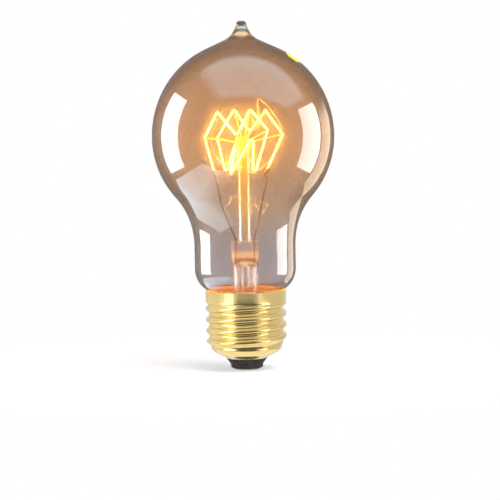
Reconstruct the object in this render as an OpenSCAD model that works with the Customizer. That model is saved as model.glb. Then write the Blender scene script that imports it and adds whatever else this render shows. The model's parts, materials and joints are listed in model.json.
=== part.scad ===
/* [Glass envelope] */
// Length from the centre contact to the tip of the pip
overall_length = 113; // [106:0.5:140]
// Widest diameter of the globe
globe_d = 59; // [54:0.5:71]
// Height of the crown above the widest part
crown_rise = 30.8; // [27:0.1:36]
// Height of the pip above the crown
pip_rise = 6.4; // [5.5:0.1:8]
// Diameter of the sealed end of the pip
pip_d = 3.8; // [3:0.1:5]
// Radius of the hollow flank that runs up to the end of the pip
pip_flank_r = 6.8; // [5:0.1:8]
// Fall per millimetre where the crown runs into the pip
pip_slope = 0.46; // [0.4:0.01:0.55]
// Depth of the solid glass under the pip
pip_plug = 0.5; // [0.2:0.1:1.5]
// Thickness of the blown glass
glass_wall = 0.7; // [0.5:0.05:1]
// Angle below the widest part at which the globe turns into the shoulder
shoulder_angle = 41; // [36:1:46]
// Height of the top of the straight neck
neck_top = 40; // [37:0.5:44]
// Diameter of the neck
neck_d = 32.8; // [29:0.1:38]
// Height of the rounded foot of the neck above the rim of the cap
neck_foot = 7; // [6:0.1:8]
// Radius of the hollow below the foot, inside the cap
neck_fillet_r = 2.5; // [1.5:0.1:3]
// Height of the seal between the envelope and the flare
seal_height = 15; // [13.5:0.1:17]

/* [Screw cap] */
// Height of the rim of the cap
cap_height = 26; // [24.5:0.1:30]
// Diameter over the crests of the thread, and of the collar
thread_d = 26.3; // [25:0.05:28]
// Diameter at the roots of the thread
thread_root_d = 24.2; // [23:0.05:26]
// Pitch of the thread
thread_pitch = 3.629; // [3:0.001:4]
// Height of a crest on the +X side, at the foot of the thread
thread_start = 0.17; // [0:0.01:3.6]
// Height of the smooth collar above the thread
collar_height = 3.5; // [3:0.1:5]
// Thickness of the brass sheet
shell_wall = 0.3; // [0.25:0.01:0.4]
// Height of the lower edge of the brass
lip_height = 3.9; // [3.4:0.1:4.5]
// Diameter of the lower edge of the brass
lip_d = 13.6; // [12:0.1:15]
// Diameter of the brass at the foot of the thread
dome_d = 23.2; // [22:0.1:24]
// Height of the foot of the thread
dome_height = 7.6; // [7:0.1:8.5]
// Gap that the wire and the cement fill between the rim and the glass
rim_gap = 0.45; // [0.4:0.01:0.6]
// Gap that the wire and the cement fill between the thread and the glass
seat_gap = 0.6; // [0.5:0.01:0.8]
// Height of the cement
cement_height = 9.2; // [6:0.1:10]

/* [Centre contact] */
// Diameter of the lower end of the glass insulator
insulator_d = 10.4; // [10:0.1:12]
// Height of the lower end of the insulator
insulator_foot = 0.7; // [0.5:0.1:1]
// Height at which the insulator begins to widen
insulator_shoulder = 1.8; // [1.5:0.1:2.5]
// Diameter of the contact plate
contact_d = 9.2; // [7:0.1:9.6]
// Thickness of the contact plate
contact_t = 0.6; // [0.4:0.05:0.8]
// Height of the solder below the contact plate
solder_h = 0.3; // [0.2:0.05:0.5]
// Diameter of the solder on the contact plate
solder_d = 4.8; // [3:0.1:6]
// Diameter of the flat on the solder
solder_flat_d = 2.4; // [1:0.1:2.8]

/* [Stem] */
// Outer diameter of the flare tube
flare_tube_d = 8.6; // [8:0.1:9.4]
// Thickness of the flare glass
flare_wall = 0.8; // [0.6:0.05:1]
// Height at which the flare tube begins to open out
flare_top = 27; // [24:0.5:28]
// Height of the top of the press above the rim of the cap
press_rise = 16.1; // [14:0.1:18]
// Height of the press
press_h = 7.6; // [6:0.1:8.5]
// Width of the press
press_w = 8.9; // [8.4:0.1:10]
// Thickness of the press
press_t = 2.8; // [2:0.1:4]
// Outer diameter of the exhaust tube
exhaust_d = 3.2; // [2.8:0.1:3.6]
// Thickness of the exhaust tube
exhaust_wall = 0.5; // [0.4:0.05:0.8]
// Height of the sealed end of the exhaust tube
exhaust_end = 11.5; // [10:0.1:13]
// Diameter of the vent through the press
vent_d = 1.6; // [1:0.1:1.8]
// Diameter of the glass rod
rod_d = 3.9; // [3:0.1:5]
// Diameter of the support button on the rod
button_d = 5.8; // [5:0.1:7]
// Height of the support button
button_h = 4.6; // [4:0.1:6]
// Height of the middle of the button below the middle of the cage
button_drop = 2.4; // [2:0.1:4]

/* [Lead wires] */
// Distance of each lead from the axis, in the press
lead_x = 2.9; // [2.7:0.05:3.1]
// Diameter of the inner leads
inner_lead_d = 0.65; // [0.5:0.05:0.8]
// Diameter of the leads in the glass
seal_lead_d = 0.45; // [0.3:0.05:0.6]
// Diameter of the outer leads
outer_lead_d = 0.4; // [0.3:0.05:0.4]
// Length of the clamps on the filament's ends
clamp_l = 2; // [1.5:0.1:3]
// Diameter of the clamps
clamp_d = 1.2; // [1:0.1:1.5]
// Direction of the soldered side lead, from the +X side
side_lead_angle = 105; // [60:1:115]

/* [Filament and supports] */
// Diameter of the wound filament
filament_d = 0.5; // [0.3:0.05:0.6]
// Radius of the filament's bends
bend_r = 0.6; // [0.5:0.05:0.8]
// Height of the middle of the cage above the widest part
cage_rise = 0; // [-3:0.1:2]
// Diameter of the support wires
support_d = 0.26; // [0.2:0.01:0.35]
// Gap between each hook and the filament
hook_gap = 0.08; // [0.04:0.01:0.12]
// Depth of each support wire in the button
support_depth = 1.2; // [0.8:0.1:1.5]
// Share by which each hook leans towards its straight stretch
hook_lean = 0.5; // [0:0.05:0.7]

/* [Hidden] */
// Each hook in the order in which the filament meets it: its name, its angle from the front,
// its distance from the axis and its height above the middle of the cage
HOOKS = [
    ["middle_support_1", -97, 12.5, -0.3],
    ["top_support_1", -60, 9.4, 7.8],
    ["middle_support_2", -9, 12.6, 1],
    ["top_support_2", 16, 9.1, 8.3],
    ["middle_support_3", 37, 13, 2.1],
    ["lower_support_1", 28, 7.4, -10.7],
    ["middle_support_4", 19, 8.5, -1.1],
    ["lower_support_2", -34, 7.3, -11.6],
    ["middle_support_5", 195, 8.4, -1.1],
    ["lower_support_3", 230, 7.4, -10.9],
    ["middle_support_6", 221, 12.9, -0.5],
    ["top_support_3", 198, 9.2, 8.3],
    ["middle_support_7", 170, 12.7, 1.6],
    ["top_support_4", 127, 9.3, 8.1],
    ["middle_support_8", 97, 12.9, 0.4]
];
// Ends of the filament, written in the same way
FILAMENT_START = [-90, 9.4, -11.8];
FILAMENT_END = [90, 7.3, -11.5];
// Bends of each inner lead: share of the way up, and distance outwards from the straight line
LEFT_BENDS = [[0.52, 0.8]];
RIGHT_BENDS = [[0.3, 0.1], [0.69, 0.4], [0.89, 0.5]];

$fn = 96;
// Distance by which a cut runs past the face that it opens
past = 0.1;
// Share of a smooth curve's span that each of its two handles takes
handle_share = 0.36;
// Steps along each stretch of an outline
crown_steps = 22;
globe_steps = 14;
shoulder_steps = 12;
foot_steps = 10;
fillet_steps = 6;
flare_steps = 14;
dome_steps = 8;
flank_steps = 12;
round_steps = 6;
button_steps = 18;
curl_steps = 9;
bend_steps = 4;
// Sides of the round wires, and of the round bores
filament_sides = 8;
support_sides = 6;
lead_sides = 10;
outer_lead_sides = 8;
bore_sides = 32;

// Colours of the materials
AMBER_GLASS = [0.74, 0.58, 0.46, 0.4];
TIP_GLASS = [0.6, 0.5, 0.42, 0.7];
STEM_GLASS = [0.8, 0.84, 0.88, 0.6];
NICKEL = [0.62, 0.58, 0.5];
SEAL_METAL = [0.7, 0.35, 0.25];
COPPER = [0.78, 0.5, 0.35];
SUPPORT_METAL = [0.45, 0.43, 0.42];
GLOW = [1, 0.75, 0.25];
BRASS = [0.88, 0.72, 0.35];
BLACK_GLASS = [0.12, 0.13, 0.15];
SOLDER = [0.75, 0.76, 0.78];
CEMENT = [0.8, 0.76, 0.66];

// Envelope
globe_r = globe_d / 2;
globe_z = overall_length - pip_rise - crown_rise;
neck_r = neck_d / 2;
neck_bottom = cap_height + neck_foot;
collar_r = thread_d / 2;
rim_glass_r = collar_r - shell_wall - rim_gap;
foot_step = neck_r - rim_glass_r;
foot_r = (foot_step * foot_step + neck_foot * neck_foot) / (2 * foot_step);
seat_r = thread_root_d / 2 - shell_wall - seat_gap;
foot_angle = acos((seat_r + neck_fillet_r - neck_r + foot_r) / (foot_r + neck_fillet_r));
fillet_z = neck_bottom - (foot_r + neck_fillet_r) * sin(foot_angle);

// Thread, whose knuckle form is two equal arcs in each pitch
thread_depth = (thread_d - thread_root_d) / 4;
thread_mid_r = (thread_d + thread_root_d) / 4;
quarter_pitch = thread_pitch / 4;
knuckle_r = (quarter_pitch * quarter_pitch + thread_depth * thread_depth) / (2 * thread_depth);
collar_z = cap_height - collar_height;
thread_overlap = 0.3;
thread_fade_top = 1.4;
thread_fade_foot = 1.9;
// Length over which each end of the thread thins, and the share of the brass that it loses there
thin_l = 0.6;
thin_share = 0.7;
thread_sides = 36;
thread_rows = 42;
dome_r = dome_d / 2;
// Where the foot of the thread turns into the dome, and the falls at the dome's two ends
dome_turn = 0.2;
dome_top_way = [-0.35, -1];
dome_lip_way = [-1, -0.7];

// Stem
press_top = cap_height + press_rise;
press_foot = press_top - press_h;
tube_r = flare_tube_d / 2;
tube_bore_r = tube_r - flare_wall;
// Rise of the dome that closes the flare tube, on the outside and in the bore
dome_h = 3;
dome_bore_h = 1.3;
tube_top = press_foot - dome_h / 2;
// Half width of the level ceiling on which the exhaust tube stands
ceiling_r = exhaust_d / 2 + 0.15;
ceiling_z = tube_top + dome_bore_h * sqrt(1 - pow(ceiling_r / tube_bore_r, 2));
// Height of the middle of the vent, and the part of the upright bore above it
vent_z = press_foot + 1.4;
vent_head = 0.2;
vent_bore_r = exhaust_d / 2 - exhaust_wall;
// Ends of the seal leads, below the ceiling and inside the top of the press
seal_lead_foot = tube_top - 0.6;
inner_lead_depth = 0.5;
seal_lead_top = press_top - inner_lead_depth;
cage_z = globe_z + cage_rise;
button_z = cage_z - button_drop;
// Height at which the outer leads leave the flare, just under its rim
lead_turn = seal_height - flare_wall - 1;
// Straight start of each inner lead above the press
lead_start = 0.3;
// Shares of a clamp that lie below and above the filament's end, its taper and the width of its end
clamp_below = 0.35;
clamp_taper = 0.5;
clamp_rim = 0.1;
clamp_rim_share = 0.8;
clamp_clearance = 0.01;
// Angle at which a support wire's curl ends, from the side on which the wire comes in
curl_end = 330;

// Contact end
contact_z = solder_h;
contact_top = contact_z + contact_t;
contact_hole_r = 0.6;
// Bevel round the face of the contact plate: its width and its height
contact_bevel = [0.4, 0.2];
insulator_hole_r = 0.4;
// Where the drop of solder turns from its flat to its rim: shares of its radius and of its height
solder_bend = [0.85, 0.4];
solder_wire_z = 0.5;
// Rise above the insulator at which the right outer lead turns down the middle
centre_wire_rise = 1.5;
side_solder_h = 0.5;
side_solder_t = 0.2;
side_solder_arc = 8;
// Share of the drop's thickness left at its top, and the drop from each corner
side_solder_share = 0.7;
side_solder_drop = 0.1;
// Film of solder between its drop and the glass
solder_film = 0.02;
side_wire_r = seat_r + seat_gap / 2;
side_wire_top = cap_height - 0.3;
side_wire_gap = 0.05;
cement_foot = side_wire_top - cement_height;
// Slack round the cement inside the thread, below the collar, and in its slot for the side lead
cement_slack = 0.03;
cement_step = 0.4;
slot_slack = 0.1;

// Points on a round arc, from one angle to another
function arc(c, r, from, to, steps) =
    [for (i = [0:steps]) let (t = from + (to - from) * i / steps) c + r * [cos(t), sin(t)]];

// Points on an oval arc with its own two radii
function oval(c, rx, ry, from, to, steps) =
    [for (i = [0:steps]) let (t = from + (to - from) * i / steps) c + [rx * cos(t), ry * sin(t)]];

// Points on a smooth curve that leaves p along u and reaches q along v
function blend(p, u, q, v, steps) =
    let (h = handle_share * norm(q - p), a = p + h * u, b = q - h * v)
    [for (i = [0:steps]) let (t = i / steps, s = 1 - t)
        s * s * s * p + 3 * s * s * t * a + 3 * s * t * t * b + t * t * t * q];

// The outline moved to its right by a distance, which is inwards on an outline that runs down the outside
function moved(pts, d) =
    [for (i = [0:len(pts) - 1])
        let (t = pts[min(i + 1, len(pts) - 1)] - pts[max(i - 1, 0)], n = [t[1], -t[0]] / norm(t))
        pts[i] + d * n];

function reversed(pts) = [for (i = [len(pts) - 1:-1:0]) pts[i]];

// All points but the first
function rest(pts) = [for (i = [1:len(pts) - 1]) pts[i]];

function unit(v) = v / norm(v);

// Radius at which the solder meets the foot of the neck
function foot_glass_r(z) =
    neck_r - foot_r + sqrt(foot_r * foot_r - pow(neck_bottom - z, 2)) + solder_film;

// A place from its angle from the front, its distance from the axis and its height
function place(angle, r, z) = [r * sin(angle), -r * cos(angle), z];

// Hollow flank of the pip, as angles from its level centre line
flank_centre = [pip_d / 2 + pip_flank_r, overall_length];
flank_start = 180 + atan2(1, pip_slope);
// Rounding of the sealed end, and the drop of the flank's end below it
bead_r = 0.9;
bead_drop = 1.7;
flank_end = 180 + asin(bead_drop / pip_flank_r);
// Share of the pip's foot that the drop of glass under it covers
plug_share = 0.55;

// Outside of the envelope from the pip down to the seal
crown_end = atan2(crown_rise, globe_r * pip_slope);
shoulder_start = [globe_r * cos(shoulder_angle), globe_z - globe_r * sin(shoulder_angle)];
ENVELOPE_OUTSIDE = concat(
    [flank_centre + pip_flank_r * [cos(flank_start), sin(flank_start)]],
    oval([0, globe_z], globe_r, crown_rise, crown_end, 2, crown_steps),
    arc([0, globe_z], globe_r, 0, -shoulder_angle, globe_steps),
    rest(blend(shoulder_start, [-sin(shoulder_angle), -cos(shoulder_angle)],
        [neck_r, neck_top], [0, -1], shoulder_steps)),
    arc([neck_r - foot_r, neck_bottom], foot_r, 0, -foot_angle, foot_steps),
    rest(arc([seat_r + neck_fillet_r, fillet_z], neck_fillet_r, 180 - foot_angle, 180, fillet_steps)),
    [[seat_r, seal_height]]
);
ENVELOPE_INSIDE = moved(ENVELOPE_OUTSIDE, glass_wall);

// Outside of the flare from the straight tube down to the seal, and its inside
FLARE_OUTSIDE = concat(
    [[tube_r, tube_top]],
    blend([tube_r, flare_top], [0, -1], [seat_r - glass_wall, seal_height], [1, 0], flare_steps),
    [[seat_r, seal_height]]
);
FLARE_INSIDE = moved(FLARE_OUTSIDE, flare_wall);

// Outside of the brass from the foot of the thread down to the lip, and its inside
DOME_OUTSIDE = concat(
    [[dome_r, dome_height + thread_overlap]],
    blend([dome_r, dome_height - dome_turn], unit(dome_top_way),
        [lip_d / 2, lip_height], unit(dome_lip_way), dome_steps)
);
DOME_INSIDE = moved(DOME_OUTSIDE, shell_wall);
insulator_top = DOME_INSIDE[1][1];

// Turns an outline and the inside that faces it into a shell
module turned_shell(outside, inside) {
    rotate_extrude()
        polygon(concat(outside, reversed(inside)));
}

// A round tube along a path: each ring stands across the path and is turned from the one before it
// without twist. radii gives one radius for each point.
module swept(path, radii, sides) {
    last = len(path) - 1;
    ahead = [for (i = [0:last])
        unit((i < last ? unit(path[i + 1] - path[i]) : [0, 0, 0])
            + (i > 0 ? unit(path[i] - path[i - 1]) : [0, 0, 0]))];
    first_side = unit(cross(ahead[0], abs(ahead[0][2]) < 0.9 ? [0, 0, 1] : [1, 0, 0]));
    side = [for (i = 0, s = first_side; i <= last; i = i + 1,
        s = i <= last ? unit(s - (s * ahead[i]) * ahead[i]) : s) s];
    points = [for (i = [0:last], k = [0:sides - 1])
        let (a = 360 * k / sides, u = side[i], v = cross(ahead[i], u))
        path[i] + radii[i] * (cos(a) * u + sin(a) * v)];
    skin = [for (i = [0:last - 1], k = [0:sides - 1], half = [0, 1])
        let (a = i * sides + k, b = i * sides + (k + 1) % sides)
        half == 0 ? [a, b, b + sides] : [a, b + sides, a + sides]];
    start_cap = [[for (k = [sides - 1:-1:0]) k]];
    end_cap = [[for (k = [0:sides - 1]) last * sides + k]];
    polyhedron(points, concat(skin, start_cap, end_cap), convexity = 10);
}

// A straight round bore or pin from p to q
module straight(p, q, r) {
    d = q - p;
    translate(p)
        rotate([0, acos(d[2] / norm(d)), atan2(d[1], d[0])])
            cylinder(h = norm(d), r = r, $fn = bore_sides);
}

// Glass envelope: a blown globe with a crown, a shoulder and a neck, open where the pip closes it
module glass_envelope() {
    color(AMBER_GLASS)
        turned_shell(ENVELOPE_OUTSIDE, ENVELOPE_INSIDE);
}

// Exhaust tip: the drawn-off pip and the drop of glass under it
module exhaust_tip() {
    under = ENVELOPE_INSIDE[0];
    color(TIP_GLASS)
        rotate_extrude()
            polygon(concat(
                [[0, under[1] - pip_plug], [plug_share * under[0], under[1] - pip_plug], under],
                arc(flank_centre, pip_flank_r, flank_start, flank_end, flank_steps),
                arc([pip_d / 2 - bead_r, overall_length - bead_r], bead_r, 0, 90, round_steps),
                [[0, overall_length]]
            ));
}

// Stem flare: a trumpet-shaped tube, its closed top and the flat press that holds the leads
module stem_flare() {
    dome = oval([0, tube_top], tube_r, dome_h, 0, 90, dome_steps);
    bore = concat(
        [[0, ceiling_z]],
        reversed(oval([0, tube_top], tube_bore_r, dome_bore_h, 0, acos(ceiling_r / tube_bore_r), round_steps))
    );
    color(STEM_GLASS)
        difference() {
            union() {
                rotate_extrude()
                    polygon(concat(
                        reversed(dome),
                        rest(FLARE_OUTSIDE),
                        reversed(rest(FLARE_INSIDE)),
                        reversed(bore)
                    ));
                translate([0, 0, press_foot])
                    linear_extrude(press_h)
                        union() {
                            square([press_w - press_t, press_t], center = true);
                            for (side = [-1, 1])
                                translate([side * (press_w - press_t) / 2, 0])
                                    circle(d = press_t);
                        }
            }
            straight([0, 0, ceiling_z - past], [0, 0, vent_z + vent_d / 2 + vent_head], vent_bore_r);
            straight([0, 0, vent_z], [0, -tube_r, vent_z], vent_d / 2);
            for (x = [-lead_x, lead_x]) {
                straight([x, 0, seal_lead_foot], [x, 0, seal_lead_top], seal_lead_d / 2);
                straight([x, 0, seal_lead_top], [x, 0, press_top + past], inner_lead_d / 2);
            }
        }
}

// Exhaust tube: open into the vent at its top, and melted shut inside the cap
module exhaust_tube() {
    r = exhaust_d / 2;
    end = [0, exhaust_end + r];
    color(STEM_GLASS)
        rotate_extrude()
            polygon(concat(
                arc(end, r, -90, 0, round_steps),
                [[r, ceiling_z], [vent_bore_r, ceiling_z]],
                arc(end, vent_bore_r, 0, -90, round_steps)
            ));
}

// Glass rod: stands on the press and ends in the button that holds the support wires
module glass_rod() {
    rod_r = rod_d / 2;
    join = asin(rod_r / (button_d / 2));
    color(STEM_GLASS)
        difference() {
            rotate_extrude()
                polygon(concat(
                    [[0, press_top], [rod_r, press_top]],
                    oval([0, button_z], button_d / 2, button_h / 2, join - 90, 90, button_steps)
                ));
            for (h = HOOKS)
                straight(support_root(h), support_root(h) + 2 * support_depth * support_way(h),
                    support_d / 2);
        }
}

// Where the filament passes through a hook
function hook_centre(h) = place(h[1], h[2], cage_z + h[3]);

// Every support wire points from the middle of the button at its hook
function support_way(h) = unit(hook_centre(h) - [0, 0, button_z]);

// Distance from the middle of the button to its surface along a direction
function button_reach(w) = 0.5 / norm([w[0] / button_d, w[1] / button_d, w[2] / button_h]);

// Inner end of a support wire, sunk in the button
function support_root(h) =
    [0, 0, button_z] + (button_reach(support_way(h)) - support_depth) * support_way(h);

// The filament's corners, from its left end round every hook to its right end
CORNERS = concat(
    [place(FILAMENT_START[0], FILAMENT_START[1], cage_z + FILAMENT_START[2])],
    [for (h = HOOKS) hook_centre(h)],
    [place(FILAMENT_END[0], FILAMENT_END[1], cage_z + FILAMENT_END[2])]
);

// At corner i, the direction back along the filament, the direction on along it, the way into the
// bend and the way round it
function back_way(i) = unit(CORNERS[i - 1] - CORNERS[i]);
function on_way(i) = unit(CORNERS[i + 1] - CORNERS[i]);
function bend_in(i) = unit(back_way(i) + on_way(i));
function bend_round(i) = unit(on_way(i) - back_way(i));

// Half of the angle that the filament turns through at corner i
function half_turn(i) = 90 - acos(back_way(i) * on_way(i)) / 2;

FILAMENT_PATH = concat(
    [CORNERS[0]],
    [for (i = [1:len(HOOKS)], k = [0:bend_steps])
        let (t = half_turn(i) * (2 * k / bend_steps - 1))
        CORNERS[i] + bend_r * ((1 - cos(t)) * bend_in(i) + sin(t) * bend_round(i))],
    [CORNERS[len(CORNERS) - 1]]
);

// Filament: one wire wound back and forth over all the hooks, from clamp to clamp
module filament() {
    color(GLOW)
        swept(FILAMENT_PATH, [for (p = FILAMENT_PATH) filament_d / 2], filament_sides);
}

// Support wire: straight from the button to a hook that curls round the filament at corner i. The
// curl's plane stands across the filament, but leans towards the straight stretch.
module support_wire(i) {
    h = HOOKS[i - 1];
    r = (filament_d + support_d) / 2 + hook_gap;
    root = support_root(h);
    c = CORNERS[i];
    way = support_way(h);
    n = unit(bend_round(i) - hook_lean * (bend_round(i) * way) * way);
    flat = (root - c) - ((root - c) * n) * n;
    u = unit(flat);
    v = (cross(n, u) * bend_in(i) > 0 ? -1 : 1) * cross(n, u);
    start = acos(r / norm(flat));
    curl = [for (k = [0:curl_steps])
        let (t = start + (curl_end - start) * k / curl_steps)
        c + r * (cos(t) * u + sin(t) * v)];
    path = concat([root], curl);
    color(SUPPORT_METAL)
        swept(path, [for (p = path) support_d / 2], support_sides);
}

// Path of an inner lead from the press to the filament's end, bowed outwards at its bends
function inner_lead_path(side, bends, end) =
    let (foot = [side * lead_x, 0, press_top])
    concat([foot - [0, 0, inner_lead_depth]], [foot + [0, 0, lead_start]],
        [for (b = bends) foot + b[0] * (end - foot) + [side * b[1], 0, 0]]);

// Inner lead: a stiff wire with a clamp that holds the end of the filament. way points along the filament.
module inner_lead(side, bends, end, way) {
    foot = inner_lead_path(side, bends, end);
    clamp_foot = end - clamp_below * clamp_l * way;
    clamp_top = end + (1 - clamp_below) * clamp_l * way;
    path = concat(foot, [clamp_foot - clamp_taper * way, clamp_foot, clamp_top - clamp_rim * way, clamp_top]);
    plain = [for (p = foot) inner_lead_d / 2];
    color(NICKEL)
        difference() {
            swept(path, concat(plain, [inner_lead_d, clamp_d, clamp_d, clamp_rim_share * clamp_d] / 2),
                lead_sides);
            straight(end, clamp_top + past * way, filament_d / 2 + clamp_clearance);
        }
}

module inner_lead_left() {
    inner_lead(-1, LEFT_BENDS, CORNERS[0], unit(CORNERS[1] - CORNERS[0]));
}

module inner_lead_right() {
    last = len(CORNERS) - 1;
    inner_lead(1, RIGHT_BENDS, CORNERS[last], unit(CORNERS[last - 1] - CORNERS[last]));
}

// Seal lead: the short wire whose glass-tight surface passes through the press
module seal_lead(side) {
    color(SEAL_METAL)
        straight([side * lead_x, 0, seal_lead_foot], [side * lead_x, 0, seal_lead_top], seal_lead_d / 2);
}

module seal_lead_left() {
    seal_lead(-1);
}

module seal_lead_right() {
    seal_lead(1);
}

// Left outer lead: down the flare, out under its rim and up beside the glass to the rim of the cap
module outer_lead_left() {
    way = [cos(side_lead_angle), sin(side_lead_angle), 0];
    path = [
        [-lead_x, 0, seal_lead_foot],
        [-lead_x, 0, lead_turn],
        side_wire_r * way + [0, 0, lead_turn],
        side_wire_r * way + [0, 0, fillet_z],
        (collar_r - shell_wall - rim_gap / 2) * way + [0, 0, side_wire_top - side_wire_gap]
    ];
    color(COPPER)
        swept(path, [for (p = path) outer_lead_d / 2], outer_lead_sides);
}

// Right outer lead: down the flare and through the insulator to the centre contact
module outer_lead_right() {
    path = [
        [lead_x, 0, seal_lead_foot],
        [lead_x, 0, lead_turn],
        [0, 0, insulator_top + centre_wire_rise],
        [0, 0, solder_wire_z]
    ];
    color(COPPER)
        swept(path, [for (p = path) outer_lead_d / 2], outer_lead_sides);
}

// Height of the knuckle profile at a distance along the axis from the nearest crest
function knuckle(s) =
    let (near = abs(s) <= quarter_pitch, x = near ? s : 2 * quarter_pitch - abs(s),
        rise = sqrt(knuckle_r * knuckle_r - x * x) - knuckle_r + thread_depth)
    near ? rise : -rise;

// Distance along the axis to the nearest crest, which climbs one pitch in each turn
function from_crest(z, angle) =
    let (t = (z - thread_start) / thread_pitch - angle / 360)
    (t - round(t)) * thread_pitch;

// Smooth step from 0 to 1
function ease(t) = let (u = max(0, min(1, t))) u * u * (3 - 2 * u);

// Where the brass of the thread runs into the collar above and the dome below, from 0 to 1
function run_out_top(z) = ease((z - collar_z + thread_fade_top) / thread_fade_top);
function run_out_foot(z) = ease((dome_height + thread_fade_foot - z) / thread_fade_foot);

function thread_outside(z, angle) =
    let (up = run_out_top(z), down = run_out_foot(z), half_wall = shell_wall / 2)
    thread_mid_r + (collar_r - half_wall - thread_mid_r) * up + (dome_r - half_wall - thread_mid_r) * down
        + knuckle(from_crest(z, angle)) * (1 - up) * (1 - down);

// The brass thins at both ends of the thread, where it lies inside the collar and the dome
function thread_thickness(z) =
    let (e = max(ease((z - collar_z + thin_l) / thin_l), ease((dome_height + thin_l - z) / thin_l)))
    shell_wall * (1 - thin_share * e);

// Thread of the screw shell: a grid of points turned round the axis, on the outside and the inside
module thread_tube() {
    foot = dome_height;
    top = collar_z + thread_overlap / 2;
    points = [for (skin = [0, 1], i = [0:thread_rows], j = [0:thread_sides - 1])
        let (z = foot + (top - foot) * i / thread_rows, angle = 360 * j / thread_sides,
            r = thread_outside(z, angle) - skin * thread_thickness(z))
        [r * cos(angle), r * sin(angle), z]];
    inner = (thread_rows + 1) * thread_sides;
    outside = [for (i = [0:thread_rows - 1], j = [0:thread_sides - 1], half = [0, 1])
        let (a = i * thread_sides + j, b = i * thread_sides + (j + 1) % thread_sides)
        half == 0 ? [a, a + thread_sides, b + thread_sides] : [a, b + thread_sides, b]];
    inside = [for (f = outside) [f[0], f[2], f[1]] + inner * [1, 1, 1]];
    last = thread_rows * thread_sides;
    ends = [for (j = [0:thread_sides - 1])
        let (b = (j + 1) % thread_sides)
        each [
            [j, b, inner + b], [j, inner + b, inner + j],
            [last + j, inner + last + b, last + b], [last + j, inner + last + j, inner + last + b]
        ]];
    polyhedron(points, concat(outside, inside, ends), convexity = 10);
}

// Screw shell: smooth collar, right-hand knuckle thread and the dome below it, in one brass sheet
module screw_shell() {
    color(BRASS)
        union() {
            thread_tube();
            translate([0, 0, collar_z - thread_overlap / 2])
                difference() {
                    cylinder(h = collar_height + thread_overlap / 2, r = collar_r);
                    translate([0, 0, -past])
                        cylinder(h = collar_height + 2 * past + thread_overlap, r = collar_r - shell_wall);
                }
            turned_shell(DOME_OUTSIDE, DOME_INSIDE);
        }
}

// Cap insulator: black glass moulded into the dome, with a hole for the centre lead
module cap_insulator() {
    r = insulator_d / 2;
    color(BLACK_GLASS)
        rotate_extrude()
            polygon(concat(
                [[insulator_hole_r, insulator_top]],
                rest(DOME_INSIDE),
                [[lip_d / 2, lip_height], [r, insulator_shoulder], [r, insulator_foot],
                    [contact_d / 2, insulator_foot], [contact_d / 2, contact_top],
                    [insulator_hole_r, contact_top]]
            ));
}

// Centre contact: a brass plate in the insulator, with a hole for the lead
module centre_contact() {
    r = contact_d / 2;
    color(BRASS)
        rotate_extrude()
            polygon([
                [contact_hole_r, contact_z], [r - contact_bevel[0], contact_z],
                [r, contact_z + contact_bevel[1]], [r, contact_top], [contact_hole_r, contact_top]
            ]);
}

// Centre solder: the drop that joins the lead to the contact, with a worn flat where the holder touches it
module centre_solder() {
    color(SOLDER)
        difference() {
            rotate_extrude()
                polygon([
                    [0, 0], [solder_flat_d / 2, 0],
                    [solder_bend[0] * solder_d / 2, solder_bend[1] * contact_z],
                    [solder_d / 2, contact_z], [contact_hole_r, contact_z],
                    [contact_hole_r, contact_top], [0, contact_top]
                ]);
            straight([0, 0, solder_wire_z], [0, 0, contact_top + past], outer_lead_d / 2);
        }
}

// Side solder: the drop that joins the side lead to the rim of the cap, round the rim from the glass
module side_solder() {
    low = side_wire_top;
    top = cap_height + side_solder_h;
    inner = collar_r - shell_wall;
    color(SOLDER)
        rotate([0, 0, side_lead_angle - side_solder_arc / 2])
            rotate_extrude(angle = side_solder_arc)
                polygon([
                    [foot_glass_r(low), low], [foot_glass_r(cap_height), cap_height],
                    [foot_glass_r(top), top],
                    [collar_r + side_solder_t * side_solder_share, top - side_solder_drop],
                    [collar_r + side_solder_t, cap_height - side_solder_drop],
                    [collar_r, cap_height - side_solder_h],
                    [collar_r, cap_height], [inner, cap_height], [inner, low]
                ]);
}

// Basing cement: fills the ring between the neck and the cap, with a slot for the side lead
module basing_cement() {
    r = thread_root_d / 2 - shell_wall - cement_slack;
    top = side_wire_top;
    low = [for (p = ENVELOPE_OUTSIDE) if (p[1] < top && p[1] > cement_foot) p];
    rim = collar_r - shell_wall;
    slot = outer_lead_d + slot_slack;
    color(CEMENT)
        difference() {
            rotate_extrude()
                polygon(concat(
                    low,
                    [[seat_r, cement_foot], [r, cement_foot], [r, collar_z - cement_step],
                        [rim, collar_z + thread_overlap], [rim, low[0][1]]]
                ));
            rotate([0, 0, side_lead_angle])
                translate([seat_r - past, -slot / 2, cement_foot - past])
                    cube([rim - seat_r + 2 * past, slot, cement_height + 2 * past]);
        }
}

glass_envelope();
exhaust_tip();
stem_flare();
exhaust_tube();
glass_rod();
inner_lead_left();
inner_lead_right();
seal_lead_left();
seal_lead_right();
outer_lead_left();
outer_lead_right();
filament();
screw_shell();
cap_insulator();
centre_contact();
centre_solder();
side_solder();
basing_cement();
for (i = [1:len(HOOKS)])
    support_wire(i);
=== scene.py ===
"""Filament bulb: a blown amber envelope with a drawn tip, a glass stem that carries a lit cage
filament, and a brass screw cap, standing on a pale floor in soft studio light.

Lengths are in millimetres until a mesh is written, +Z is up and the front of the bulb faces -Y.
"""
import json
import logging
import math
from dataclasses import dataclass
from enum import Enum
from functools import cache
from typing import Any, Sequence

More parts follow.
